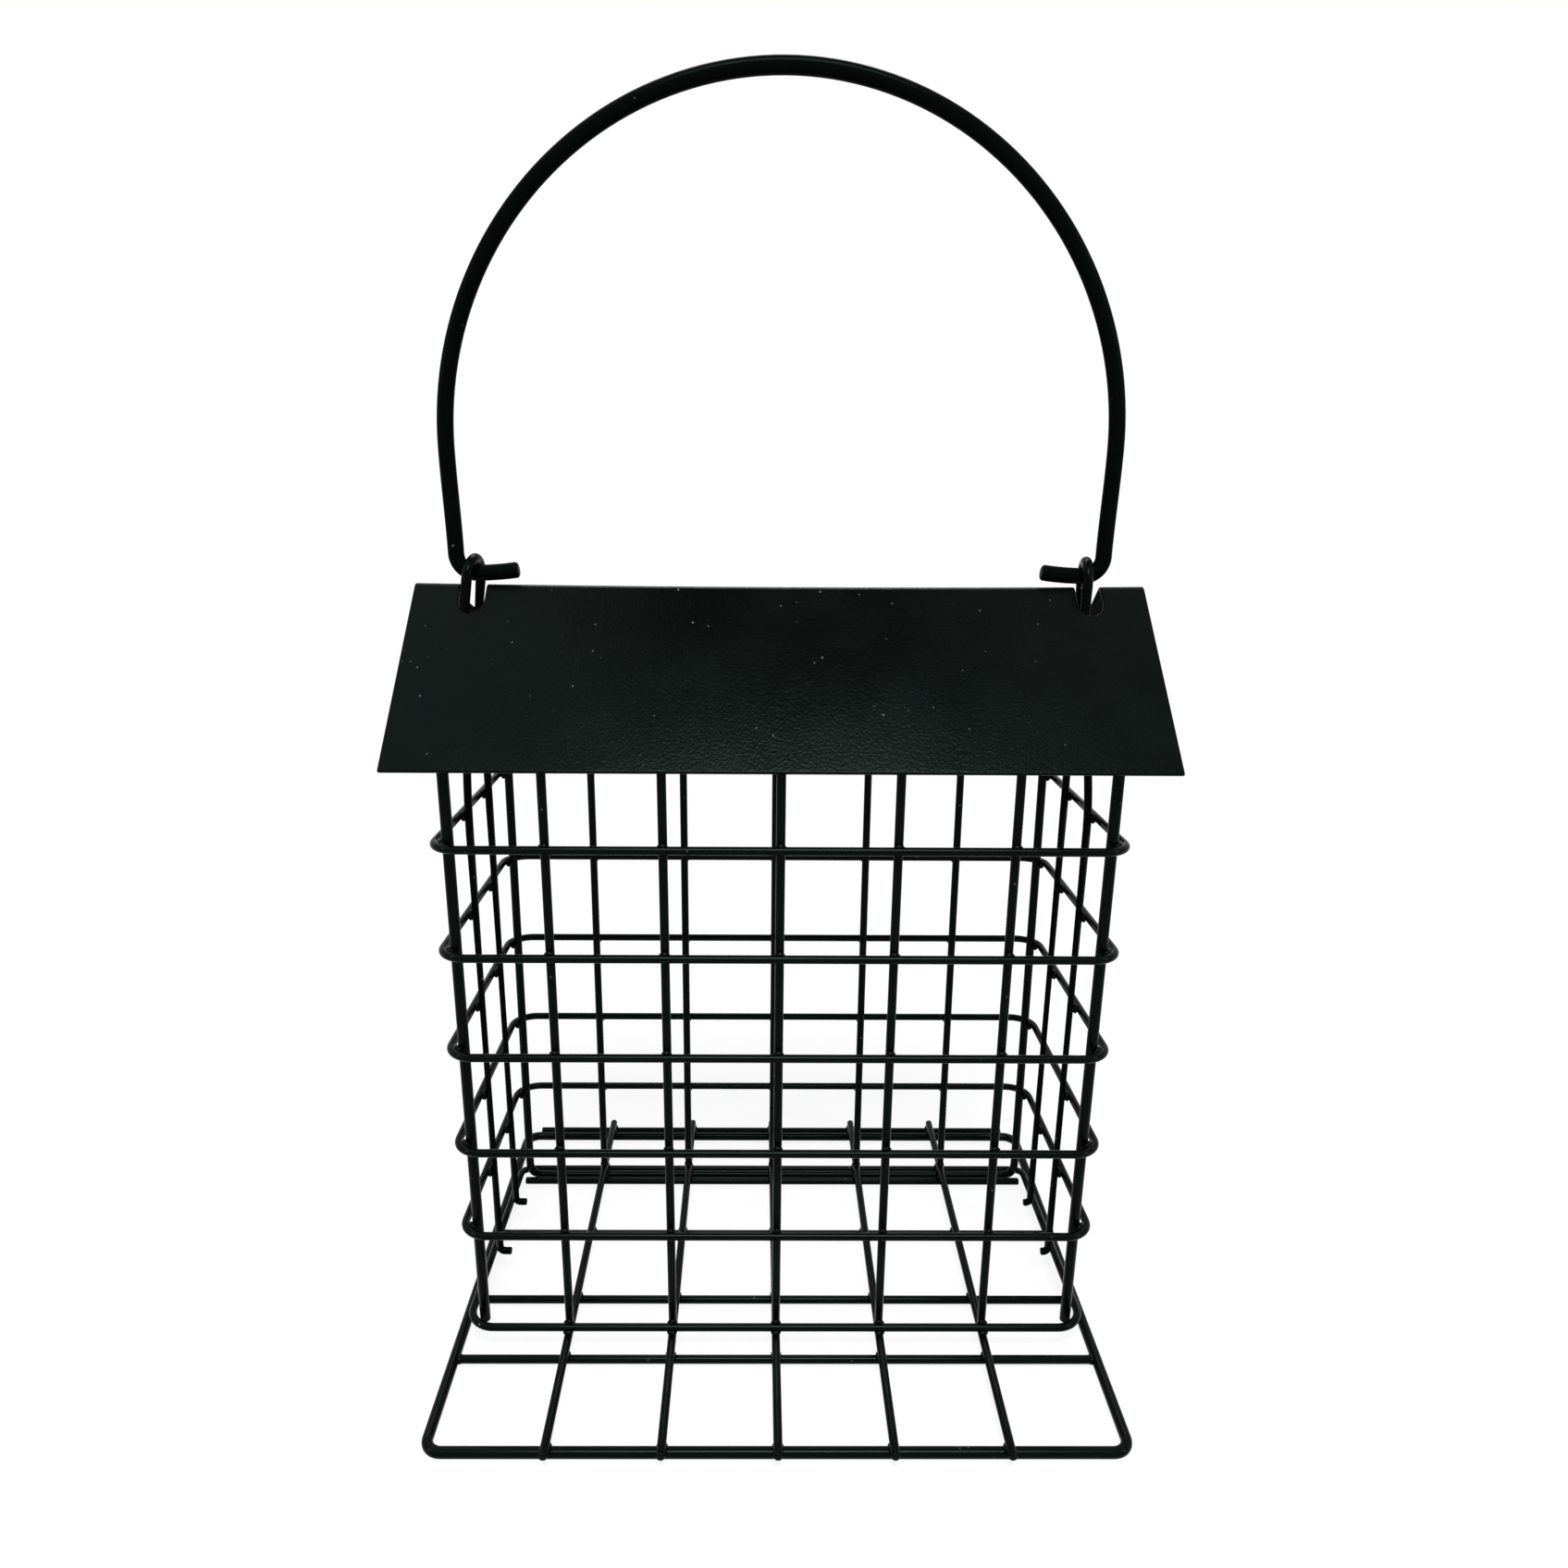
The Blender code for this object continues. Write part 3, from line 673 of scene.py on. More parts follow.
@dataclass
class Cage(SubAssembly):
    """The welded cage: hoops outside, uprights inside, heavier corners and the bent rear frame."""

    hoop_rise_shares: tuple[float, ...] = (1.0, 0.796, 0.598, 0.397, 0.213)
    front_corner_bearing: float = radians(38)
    rear_corner_bearing: float = radians(20)
    frame_bend_rise: float = 0.0050
    frame_bend_steps: int = 16
    hanger_half_spread: float = 0.0080
    crossing_bead: Triple = (0.00104, 0.00101, 0.00057)
    corner_bead: Triple = (0.00116, 0.00109, 0.00058)
    foot_bead: Triple = (0.00098, 0.00098, 0.00050)

    @property
    def corner_centre_x(self) -> float:
        """Place of the centre of the hoops' corners."""
        return self.sizes.cage_half_width - self.sizes.hoop_corner_radius

    def corner_reach(self, diameter: float) -> float:
        """Distance from the centre of a hoop's corner to the upright that stands inside it."""
        s = self.sizes
        return s.hoop_corner_radius - s.hoop_wire / 2 - s.weld_gap - diameter / 2

    def hoop_front_z(self, share: float | np.ndarray) -> float | np.ndarray:
        """Height of a hoop's front run."""
        s = self.sizes
        return s.bottom_hoop_front_z + share * (s.top_hoop_height - s.bottom_hoop_front_z)

    def hoop_z(self, share: float | np.ndarray, y: np.ndarray) -> np.ndarray:
        """Work out a hoop's height, which falls evenly from the front to the rear.

        Args:
            share: How far up the cage the hoop is.
            y: Places along Y.

        Returns:
            The heights there.
        """
        s = self.sizes
        front_z = self.hoop_front_z(share)
        slope = s.hoop_fall / (s.rear_y(front_z - s.hoop_fall) - s.cage_front_y)
        return front_z - slope * (y - s.cage_front_y)

    def bottom_hoop_z(self, y: np.ndarray) -> np.ndarray:
        """Work out the bottom hoop's height.

        Formula: it falls evenly along the sides, from on top of the long wires to over the cross wires, and
        then as the square of the way round its rear corners, to pass under the long wires.

        Args:
            y: Places along Y.

        Returns:
            The heights there.
        """
        s = self.sizes
        side_start = s.cage_front_y + s.hoop_corner_radius
        side_end = s.rear_y(s.bottom_hoop_rear_z) - s.hoop_corner_radius
        side_share = np.clip((y - side_start) / (side_end - side_start), 0, 1)
        corner_share = np.clip((y - side_end) / s.hoop_corner_radius, 0, 1) ** 2
        along_side = (s.bottom_hoop_front_z - s.bottom_hoop_corner_z) * side_share
        round_corner = (s.bottom_hoop_corner_z - s.bottom_hoop_rear_z) * corner_share
        return s.bottom_hoop_front_z - along_side - round_corner

    def build(self) -> None:
        """Build the hoops, the uprights, the corners, the rear frame and their welds."""
        s = self.sizes
        for number, share in enumerate(self.hoop_rise_shares, 1):
            rear_z = self.hoop_front_z(share) - s.hoop_fall
            self.build_hoop(f"hoop_{number}", f"cage_hoop_{number}", rear_z, partial(self.hoop_z, share))
        self.build_hoop("threaded_bottom_hoop", "bottom_hoop", s.bottom_hoop_rear_z, self.bottom_hoop_z)
        self.build_uprights()
        self.build_front_corners()
        self.build_rear_frame()
        self.dress(self.build_welds())

    def build_hoop(
        self, name: str, node: str, rear_z: float, height: Callable[[np.ndarray], np.ndarray]
    ) -> None:
        """Build one hoop.

        Args:
            name: The piece's name.
            node: The CAD node that it stands for.
            rear_z: Height of its rear run.
            height: Works out its heights at places along Y.
        """
        s = self.sizes
        outline = rounded_rectangle(s.cage_half_width, s.cage_front_y, s.rear_y(rear_z), s.hoop_corner_radius)
        path = spots(*outline.T, height(outline[:, 1]))
        self.dress(RoundWire(s.hoop_wire).carry(name, path, ALONG_Z, closed=True), node)

    def build_uprights(self) -> None:
        """Build the five uprights of the front wall and the five of the leaning back wall."""
        s = self.sizes
        foot_z = s.long_wire_top_z + s.weld_gap
        lean = tan(s.back_lean)
        rear_foot = s.rear_y(0) - s.upright_inset
        front_top = s.roof_meets(s.ridge_y - s.front_upright_y, 0, s.upright_wire)
        rear_z = np.array([foot_z, s.roof_meets(rear_foot - s.ridge_y, lean, s.upright_wire)])
        wire = RoundWire(s.upright_wire)
        for number, x in enumerate(s.grid_places, 1):
            front = spots(x, s.front_upright_y, [foot_z, front_top])
            rear = spots(x, rear_foot + lean * rear_z, rear_z)
            self.dress(wire.carry(f"front_wall_wire_{number}", front, ALONG_Y), f"front_upright_{number}")
            self.dress(wire.carry(f"back_wall_wire_{number}", rear, ALONG_Y), f"back_upright_{number}")

    def build_front_corners(self) -> None:
        """Build the two heavier uprights in the round of the hoops' front corners."""
        s = self.sizes
        reach = self.corner_reach(s.corner_wire)
        x = self.corner_centre_x + reach * cos(self.front_corner_bearing)
        y = s.cage_front_y + s.hoop_corner_radius - reach * sin(self.front_corner_bearing)
        foot_z = s.bottom_hoop_front_z - s.hoop_wire / 2 - s.weld_gap
        top_z = s.roof_meets(s.ridge_y - y, 0, s.corner_wire)
        for side in Side:
            name = side.name.lower()
            path = spots(side.value * x, y, [foot_z, top_z])
            item = RoundWire(s.corner_wire).carry(f"front_{name}_corner_wire", path, ALONG_Y)
            self.dress(item, f"front_{name}_corner_upright")

    def build_rear_frame(self) -> None:
        """Build the rear wire, bent to a U: the foot behind the cage's floor and both rear corners.

        Formula of the bend: as its share goes from zero to one, the wire turns round the hoop's corner by the
        sine of the share's quarter turn and rises by one less its cosine, so it leaves the foot level and
        meets the upright without a kink.
        """
        s = self.sizes
        quarter = np.linspace(0, QUARTER, self.frame_bend_steps + 1)
        turn = QUARTER + (self.rear_corner_bearing - QUARTER) * np.sin(quarter)
        reach = self.corner_reach(s.frame_wire)
        z = s.rim_top_z - s.frame_wire / 2 + self.frame_bend_rise * (1 - np.cos(quarter))
        y = s.rear_y(z) - s.hoop_corner_radius + reach * np.sin(turn)
        half = spots(self.corner_centre_x + reach * np.cos(turn), y, z)
        lean = tan(s.back_lean)
        ground_y = half[-1, 1] - lean * half[-1, 2]
        top_z = s.roof_meets(ground_y - s.ridge_y, lean, s.frame_wire)
        half = np.vstack([half, [half[-1, 0], ground_y + lean * top_z, top_z]])
        path = np.concatenate([half[::-1] * (-1, 1, 1), half])
        self.dress(RoundWire(s.frame_wire).carry("rear_frame_bent_wire", path, ALONG_Y), "rear_frame_wire")

    def build_welds(self) -> bpy.types.Object:
        """Weld the hoops to the uprights and the hangers' legs, and the cage's foot to the base.

        Returns:
            The beads' object.
        """
        s = self.sizes
        beads = WeldBeads("cage_welds")
        half_gap = s.hoop_wire / 2 + s.weld_gap / 2
        shares = np.array([*self.hoop_rise_shares, 0.0])[:, None]
        front_z = self.hoop_front_z(shares)
        places = spots(s.grid_places, s.cage_front_y + half_gap, front_z)
        beads.add(places, ALONG_X, ALONG_Z, self.crossing_bead)

        shares, front_z = shares[:-1], front_z[:-1]
        rear_z = front_z - s.hoop_fall
        places = spots(s.grid_places, s.rear_y(rear_z) - half_gap, rear_z)
        beads.add(places, ALONG_X, ALONG_Z, self.crossing_bead)
        for side in Side:
            self.add_corner_beads(beads, side, front_z, rear_z)
            y = s.ridge_y + self.hanger_half_spread * np.array([-1, 1])
            places = spots(side.value * (s.cage_half_width - half_gap), y, self.hoop_z(shares, y))
            beads.add(places, ALONG_Y, ALONG_Z, self.crossing_bead)

        foot_z = s.long_wire_top_z + s.weld_gap / 2
        low_z = s.rim_top_z + s.weld_gap / 2
        rear_y = s.rear_y(s.bottom_hoop_rear_z)
        for y, z, bead in (
            (s.front_upright_y, foot_z, self.foot_bead),
            (s.rear_y(foot_z) - s.upright_inset, foot_z, self.foot_bead),
            (s.cage_front_y, foot_z, self.crossing_bead),
            (rear_y, low_z, self.crossing_bead),
            (rear_y - half_gap - s.weld_gap / 2 - s.frame_wire / 2, low_z, self.crossing_bead),
        ):
            beads.add(spots(s.grid_places, y, z), ALONG_X, ALONG_Y, bead)
        return beads.build()

    def add_corner_beads(self, beads: WeldBeads, side: Side, front_z: np.ndarray, rear_z: np.ndarray) -> None:
        """Add the beads between the hoops' corners and the corner wires on one side.

        Args:
            beads: The beads to add to.
            side: The side of the cage.
            front_z: Heights of the hoops' front runs.
            rear_z: Heights of the hoops' rear runs.
        """
        s = self.sizes
        contact = s.hoop_corner_radius - s.hoop_wire / 2 - s.weld_gap / 2
        for bearing, centre_y, z in (
            (-self.front_corner_bearing, s.cage_front_y + s.hoop_corner_radius, front_z),
            (self.rear_corner_bearing, s.rear_y(rear_z) - s.hoop_corner_radius, rear_z),
        ):
            x = side.value * (self.corner_centre_x + contact * cos(bearing))
            along = np.array([-side.value * sin(bearing), cos(bearing), 0.0])
            beads.add(spots(x, centre_y + contact * sin(bearing), z), along, ALONG_Z, self.corner_bead)


@dataclass
class Hangers(SubAssembly):
    """The two hand-bent wires that go up through the roof and hold the bail in their eyes.

    Where a field has two values, the first is the left hanger's.
    """

    half_spread: float = 0.0080
    foot_height: float = 0.0055
    foot_bend: float = 0.0012
    shoulder_cut: float = 0.0060
    throat_cut: float = 0.0035
    foot_lengths: tuple[float, float] = (0.0024, 0.0015)
    eye_insets: tuple[float, float] = (0.00235, 0.0021)
    eye_leans: tuple[float, float] = (radians(7), 0.0)
    eye_twists: tuple[float, float] = (radians(5), radians(8))
    eye_steps: int = 32
    eye_swell: float = 0.26
    facing_turns_from_z: float = 0.012
    facing_turns_within: float = 0.080

    @property
    def throat_z(self) -> float:
        """Height at which the legs end and the eye begins, under the roof."""
        s = self.sizes
        return s.underside_meet_z - (s.eye_radius + s.hanger_wire) * tan(s.roof_pitch) - s.hanger_wire

    def build(self) -> None:
        """Build both hangers, whose coat is thicker round their eyes.

        Formula: on the way up, the reference direction of the wire's circle turns from Y to X by a quarter
        turn, because the foot runs along X and the eye along Y.
        """
        s = self.sizes
        for number, side in enumerate(Side):
            name = side.name.lower()
            path = self.path(number, side)
            z = path[:, 2]
            share = np.clip((z - self.facing_turns_from_z) / self.facing_turns_within, 0, 1)[:, None]
            facing = np.cos(share * QUARTER) * ALONG_Y + np.sin(share * QUARTER) * ALONG_X
            up_eye = np.clip((z - self.throat_z) / (s.eye_top_z - s.eye_radius - self.throat_z), 0, 1)
            swell = 1 + self.eye_swell * up_eye
            item = RoundWire(s.hanger_wire).carry(f"{name}_hanger_bent_wire", path, facing, swell=swell)
            self.dress(item, f"{name}_hanger_wire")

    def path(self, number: int, side: Side) -> np.ndarray:
        """Work out one hanger's middle line.

        Formula: from the turned-in foot up the leg, in over the shoulder to the throat, and half round the
        eye, whose points shift along X by y times the sine of its twist and by the depth below its top times
        the tangent of its lean; the other leg is the first one mirrored in Y.

        Args:
            number: 0 for the left hanger and 1 for the right one.
            side: The hanger's side.

        Returns:
            The points of the middle line.
        """
        s = self.sizes
        twist = self.eye_twists[number] * side.value
        lean = tan(self.eye_leans[number])
        top = arc((0.0, s.eye_top_z - s.eye_radius), s.eye_radius, pi, 0, self.eye_steps)
        y, z = np.vstack([[-s.eye_radius, self.throat_z], top, [s.eye_radius, self.throat_z]]).T
        x = s.hanger_x - self.eye_insets[number] + y * sin(twist) + (s.eye_top_z - z) * lean
        eye = np.column_stack([x, y * cos(twist), z])

        top_z = s.top_hoop_height + s.hoop_wire
        x = [s.hanger_x - self.foot_lengths[number], s.hanger_x, s.hanger_x]
        leg = spots(x, -self.half_spread, [self.foot_height, self.foot_height, top_z])
        cuts = np.array([self.foot_bend, self.shoulder_cut, self.throat_cut])
        near = bent_path(np.vstack([leg, eye[:2]]), cuts)
        far = bent_path(np.vstack([leg * (1, -1, 1), eye[:-3:-1]]), cuts)[::-1]
        points = np.concatenate([near, eye[2:-2], far])
        return points * (side.value, 1, 1) + (0, s.ridge_y, 0)


@dataclass
class Roof(SubAssembly):
    """The folded sheet, with a notch across its fold at each end for the hangers.

    The two notch insets are for the left and the right one, and the two end clearances for front and rear.
    """

    underside_material: bpy.types.Material
    coat: ClassVar[Coat] = Coat.ROOF
    notch_insets: tuple[float, float] = (0.0020, 0.0016)
    notch_side_clearance: float = 0.00155
    notch_end_clearances: tuple[float, float] = (0.0006, 0.0018)
    edge_round: float = 0.00022
    edge_steps: int = 6
    edge_band: float = 0.00012
    patch_half_width: float = 0.0052
    patch_half_depth: float = 0.0108
    patch_layers: int = 7
    first_rings: tuple[float, float] = (0.04, 0.14)
    ray_squash: float = 0.62
    along_steps: tuple[int, ...] = (30, 16, 4, 1)
    across_steps: tuple[int, ...] = (6, 8, 16, 1)
    ridge_sag: float = 0.00040
    sag_reach: float = 0.0140

    def __post_init__(self) -> None:
        """Work out the sheet's stations in its unfolded plane."""
        s = self.sizes
        self.fold_half = s.fold_radius * s.roof_pitch
        slope_run = s.roof_run - s.fold_radius * sin(s.roof_pitch)
        self.half_depth = self.fold_half + slope_run / cos(s.roof_pitch)
        self.notch_x = s.hanger_x - self.notch_insets[1]
        low, high = self.notch_x - self.patch_half_width, self.notch_x + self.patch_half_width
        end_u, end_v = s.roof_half_length - self.edge_round, self.half_depth - self.edge_round
        self.u = mirrored_stations((low, high, end_u - self.edge_band, end_u), self.along_steps)
        marks = (self.fold_half, self.patch_half_depth, end_v - self.edge_band, end_v)
        self.v = mirrored_stations(marks, self.across_steps)

    def fold_up(self, u: np.ndarray, v: np.ndarray, depth: np.ndarray | float) -> np.ndarray:
        """Fold the flat sheet's points up.

        Formula: v is the way across the fold on the outer face. Within the fold it is an arc of the fold's
        radius, and past it a straight slope. A point lies its depth below the outer face, square to it, and
        the ridge sags by a bump that fades along the ridge as a parabola and across it as a bell.

        Args:
            u: Place along the ridge.
            v: Way across the fold, less than zero in front.
            depth: Depth below the outer face.

        Returns:
            The folded points.
        """
        s = self.sizes
        turn = np.clip(v / s.fold_radius, -s.roof_pitch, s.roof_pitch)
        slope = np.sign(v) * np.maximum(np.abs(v) - self.fold_half, 0)
        y = s.ridge_y + (s.fold_radius - depth) * np.sin(turn) + slope * cos(s.roof_pitch)
        z = s.fold_centre_z + (s.fold_radius - depth) * np.cos(turn) - np.abs(slope) * sin(s.roof_pitch)
        sag = self.ridge_sag * (1 - (u / s.roof_half_length) ** 2) * np.exp(-((v / self.sag_reach) ** 2))
        return np.stack([u, y, z - sag], axis=-1)

    def notch_edge(self, bearing: np.ndarray, growth: float) -> tuple[np.ndarray, np.ndarray]:
        """Work out a notch's edge in the flat sheet.

        Formula: seen from above, the notch is a slot with round ends. A ray from its middle meets the
        straight side at the half width, or the round end at c sin b + sqrt(r^2 - c^2 cos^2 b), for an end of
        radius r whose centre is c from the middle; the distance along Y is then laid back onto the slope.

        Args:
            bearing: Directions of the rays, in radians.
            growth: How much wider than the slot the edge is, all round.

        Returns:
            The offsets from the notch's middle, along the ridge and across the fold.
        """
        s = self.sizes
        half_width = s.hanger_wire / 2 + self.notch_side_clearance
        front, rear = self.notch_end_clearances
        centre = s.eye_radius + s.hanger_wire / 2 - half_width + np.where(np.sin(bearing) < 0, front, rear)
        radius = half_width + growth
        along, across = np.cos(bearing), np.abs(np.sin(bearing))
        side = radius / np.maximum(np.abs(along), TINY)
        end = centre * across + np.sqrt(np.maximum(radius**2 - (centre * along) ** 2, 0))
        reach = np.where(side * across <= centre, side, end)
        y = reach * across
        arc_y = s.fold_radius * sin(s.roof_pitch)
        folded = s.fold_radius * np.arcsin(np.clip(y / s.fold_radius, 0, sin(s.roof_pitch)))
        v = folded + np.maximum(y - arc_y, 0) / cos(s.roof_pitch)
        return reach * along, np.sign(np.sin(bearing)) * v

    def build(self) -> None:
        """Build the sheet: a grid of cells with a fan of rings round each notch, both faces and the edges.

        Formula of a fan: each ring lies a share of the way along rays from the notch's edge to the border of
        the cells that the fan takes the place of. The rays' bearings are squashed across the fold, so that
        they meet the long slot evenly.
        """
        s = self.sizes
        grid_u, grid_v = np.meshgrid(self.u, self.v, indexing="ij")
        number = np.arange(grid_u.size).reshape(grid_u.shape)
        cells = np.stack([number[:-1, :-1], number[1:, :-1], number[1:, 1:], number[:-1, 1:]], axis=-1)
        keep = np.ones(cells.shape[:2], bool)
        first, second = self.first_rings
        share = np.concatenate([[0.0, first], np.linspace(second, 1, self.patch_layers - 1)[:-1]])[:, None]
        flat_u, flat_v, faces, rims = [grid_u.ravel()], [grid_v.ravel()], [], []
        count = grid_u.size
        for inset, side in zip(self.notch_insets, Side):
            middle = side.value * self.notch_x
            offset = side.value * (self.notch_insets[1] - inset)
            rows = np.flatnonzero(np.abs(self.u - middle) <= self.patch_half_width + TINY)
            columns = np.flatnonzero(np.abs(self.v) <= self.patch_half_depth + TINY)
            keep[rows[0] : rows[-1], columns[0] : columns[-1]] = False
            loop = border(number[rows[0] : rows[-1] + 1, columns[0] : columns[-1] + 1])
            outer_u, outer_v = grid_u.ravel()[loop] - middle, grid_v.ravel()[loop]
            bearing = np.arctan2(outer_v * self.ray_squash, outer_u - offset)
            inner_u, inner_v = self.notch_edge(bearing, self.edge_round)
            flat_u.append((middle + (1 - share) * (inner_u + offset) + share * outer_u).ravel())
            flat_v.append(((1 - share) * inner_v + share * outer_v).ravel())
            fan = count + np.arange(self.patch_layers * len(loop)).reshape(self.patch_layers, len(loop))
            count += fan.size
            faces.append(bands(np.vstack([fan, loop])))
            rims.append((fan[0], bearing, middle + offset))
        upper = np.concatenate([*faces, cells[keep]])
        flat_u, flat_v = np.concatenate(flat_u), np.concatenate(flat_v)
        vertices = [self.fold_up(flat_u, flat_v, 0.0), self.fold_up(flat_u, flat_v, s.sheet)]
        blocks = [upper, upper[:, ::-1] + count]

        start = 2 * count
        edge = border(number)
        for strip, loop in self.edges(edge, flat_u, flat_v, rims):
            between = start + np.arange(strip.shape[0] * len(loop)).reshape(-1, len(loop))
            start += between.size
            vertices.append(strip.reshape(-1, 3))
            quads = bands(np.vstack([loop, between, loop + count]))
            blocks.append(quads if loop is edge else quads[:, ::-1])
        item = put_mesh("folded_roof_sheet", np.concatenate(vertices), blocks)
        self.dress(item, "roof_sheet")
        item.data.materials.append(self.underside_material)
        is_under = np.zeros(len(item.data.polygons), np.int32)
        is_under[len(upper) : 2 * len(upper)] = 1
        item.data.polygons.foreach_set("material_index", is_under)

    def edges(
        self, edge: np.ndarray, u: np.ndarray, v: np.ndarray, rims: list[tuple[np.ndarray, np.ndarray, float]]
    ) -> list[tuple[np.ndarray, np.ndarray]]:
        """Work out the rounded edges of the sheet and of its notches.

        Formula: with an angle a from zero to a half turn, the edge stands out by edge_round * sin a and lies
        at a depth of half the sheet * (1 - cos a).

        Args:
            edge: Vertex numbers round the outside of the outer face.
            u: Places along the ridge of all the outer face's vertices.
            v: Ways across the fold of the same.
            rims: Vertex numbers, bearings and middle of each notch's edge.

        Returns:
            The strips' points, without the two rows they share with the faces, and the loop each starts from.
        """
        turn = np.linspace(0, pi, self.edge_steps + 1)[1:-1]
        stand_out = self.edge_round * np.sin(turn)
        depth = (self.sizes.sheet / 2 * (1 - np.cos(turn)))[:, None]
        flat = np.stack([u[edge], v[edge]])
        ends = np.abs(flat).max(axis=1, keepdims=True)
        out = np.where(np.isclose(np.abs(flat), ends), np.sign(flat), 0)
        out = out / np.linalg.norm(out, axis=0)
        wide = flat[:, None] + stand_out[:, None] * out[:, None]
        strips = [(self.fold_up(*wide, depth), edge)]
        for loop, bearing, middle in rims:
            rows = [self.notch_edge(bearing, self.edge_round - reach) for reach in stand_out]
            along, across = (np.array(part) for part in zip(*rows))
            strips.append((self.fold_up(middle + along, across, depth), loop))
        return strips


@dataclass
class Bail(SubAssembly):
    """The thick wire arch that the feeder hangs by, its ends turned in through the eyes."""

    coat: ClassVar[Coat] = Coat.BAIL
    body: ClassVar[Body] = Body.BAIL
    side_play: float = 0.00085
    bend_radius: float = 0.0034
    stub_length: float = 0.00885
    stub_rise: float = 0.0006
    bulge: float = 0.0004
    leg_rise: float = 0.0221
    arch_rise: float = 0.0589
    least_eye_inset: float = 0.0021
    stub_steps: int = 8
    bend_steps: int = 16
    leg_steps: int = 12
    arch_steps: int = 48

    def path(self) -> np.ndarray:
        """Work out the bail's middle line.

        Formula: a stub that rises as the square of the way to its end, a quarter arc, a leg that eases
        outwards by the bulge, and a half ellipse over the top; the left half is the right one mirrored.

        Returns:
            The points of the middle line.
        """
        s = self.sizes
        eye_face = s.hanger_x - self.least_eye_inset + s.hanger_wire / 2
        leg_x = eye_face + self.side_play + s.bail_wire / 2
        bend_x, tip_x = leg_x - self.bend_radius, eye_face - self.stub_length
        way = np.linspace(1, 0, self.stub_steps + 1)
        stub = np.column_stack([bend_x + (tip_x - bend_x) * way, self.stub_rise * way**2])
        bend = arc((bend_x, self.bend_radius), self.bend_radius, -QUARTER, 0, self.bend_steps)
        way = np.linspace(0, 1, self.leg_steps + 1)
        ease = way * way * (3 - 2 * way)
        rise = self.bend_radius + (self.leg_rise - self.bend_radius) * way
        leg = np.column_stack([leg_x + self.bulge * ease, rise])
        turn = np.linspace(0, QUARTER, self.arch_steps + 1)
        rise = self.leg_rise + self.arch_rise * np.sin(turn)
        arch = np.column_stack([(leg_x + self.bulge) * np.cos(turn), rise])
        half = np.concatenate([stub[:-1], bend[:-1], leg[:-1], arch])
        x, z = np.concatenate([half, (half * (-1, 1))[-2::-1]]).T
        return spots(x, s.ridge_y, s.bail_axis_z + z)

    def build(self) -> None:
        """Build the bail and let it ride on its own body."""
        wire = RoundWire(self.sizes.bail_wire, sides=32, end_round=0.00055, end_steps=7)
        self.dress(wire.carry("bent_bail_wire", self.path(), ALONG_Y), "bail_handle")


@dataclass(frozen=True)
class Lamp:
    """A soft oval lamp that faces the feeder's middle, with its angles in degrees."""

    name: str
    azimuth: float
    elevation: float
    distance: float
    width: float
    height: float
    watts: float
    colour: Triple = (1.0, 1.0, 1.0)

    def build(self, target: Vector) -> None:
        """Hang the lamp at its azimuth, which is 0 in front and grows towards +X, and its elevation.

        Args:
            target: The point that it faces.
        """
        azimuth, elevation = radians(self.azimuth), radians(self.elevation)
        level = cos(elevation)
        away = Vector((sin(azimuth) * level, -cos(azimuth) * level, sin(elevation)))
        data = bpy.data.lights.new(self.name, "AREA")
        data.shape = "ELLIPSE"
        data.size, data.size_y = self.width, self.height
        data.energy, data.color = self.watts, self.colour
        lamp = bpy.data.objects.new(self.name, data)
        lamp.location = target + away * self.distance
        lamp.rotation_euler = (-away).to_track_quat("-Z", "Y").to_euler()
        bpy.context.scene.collection.objects.link(lamp)
        LOG.info("%s: %.1f W", self.name, self.watts)


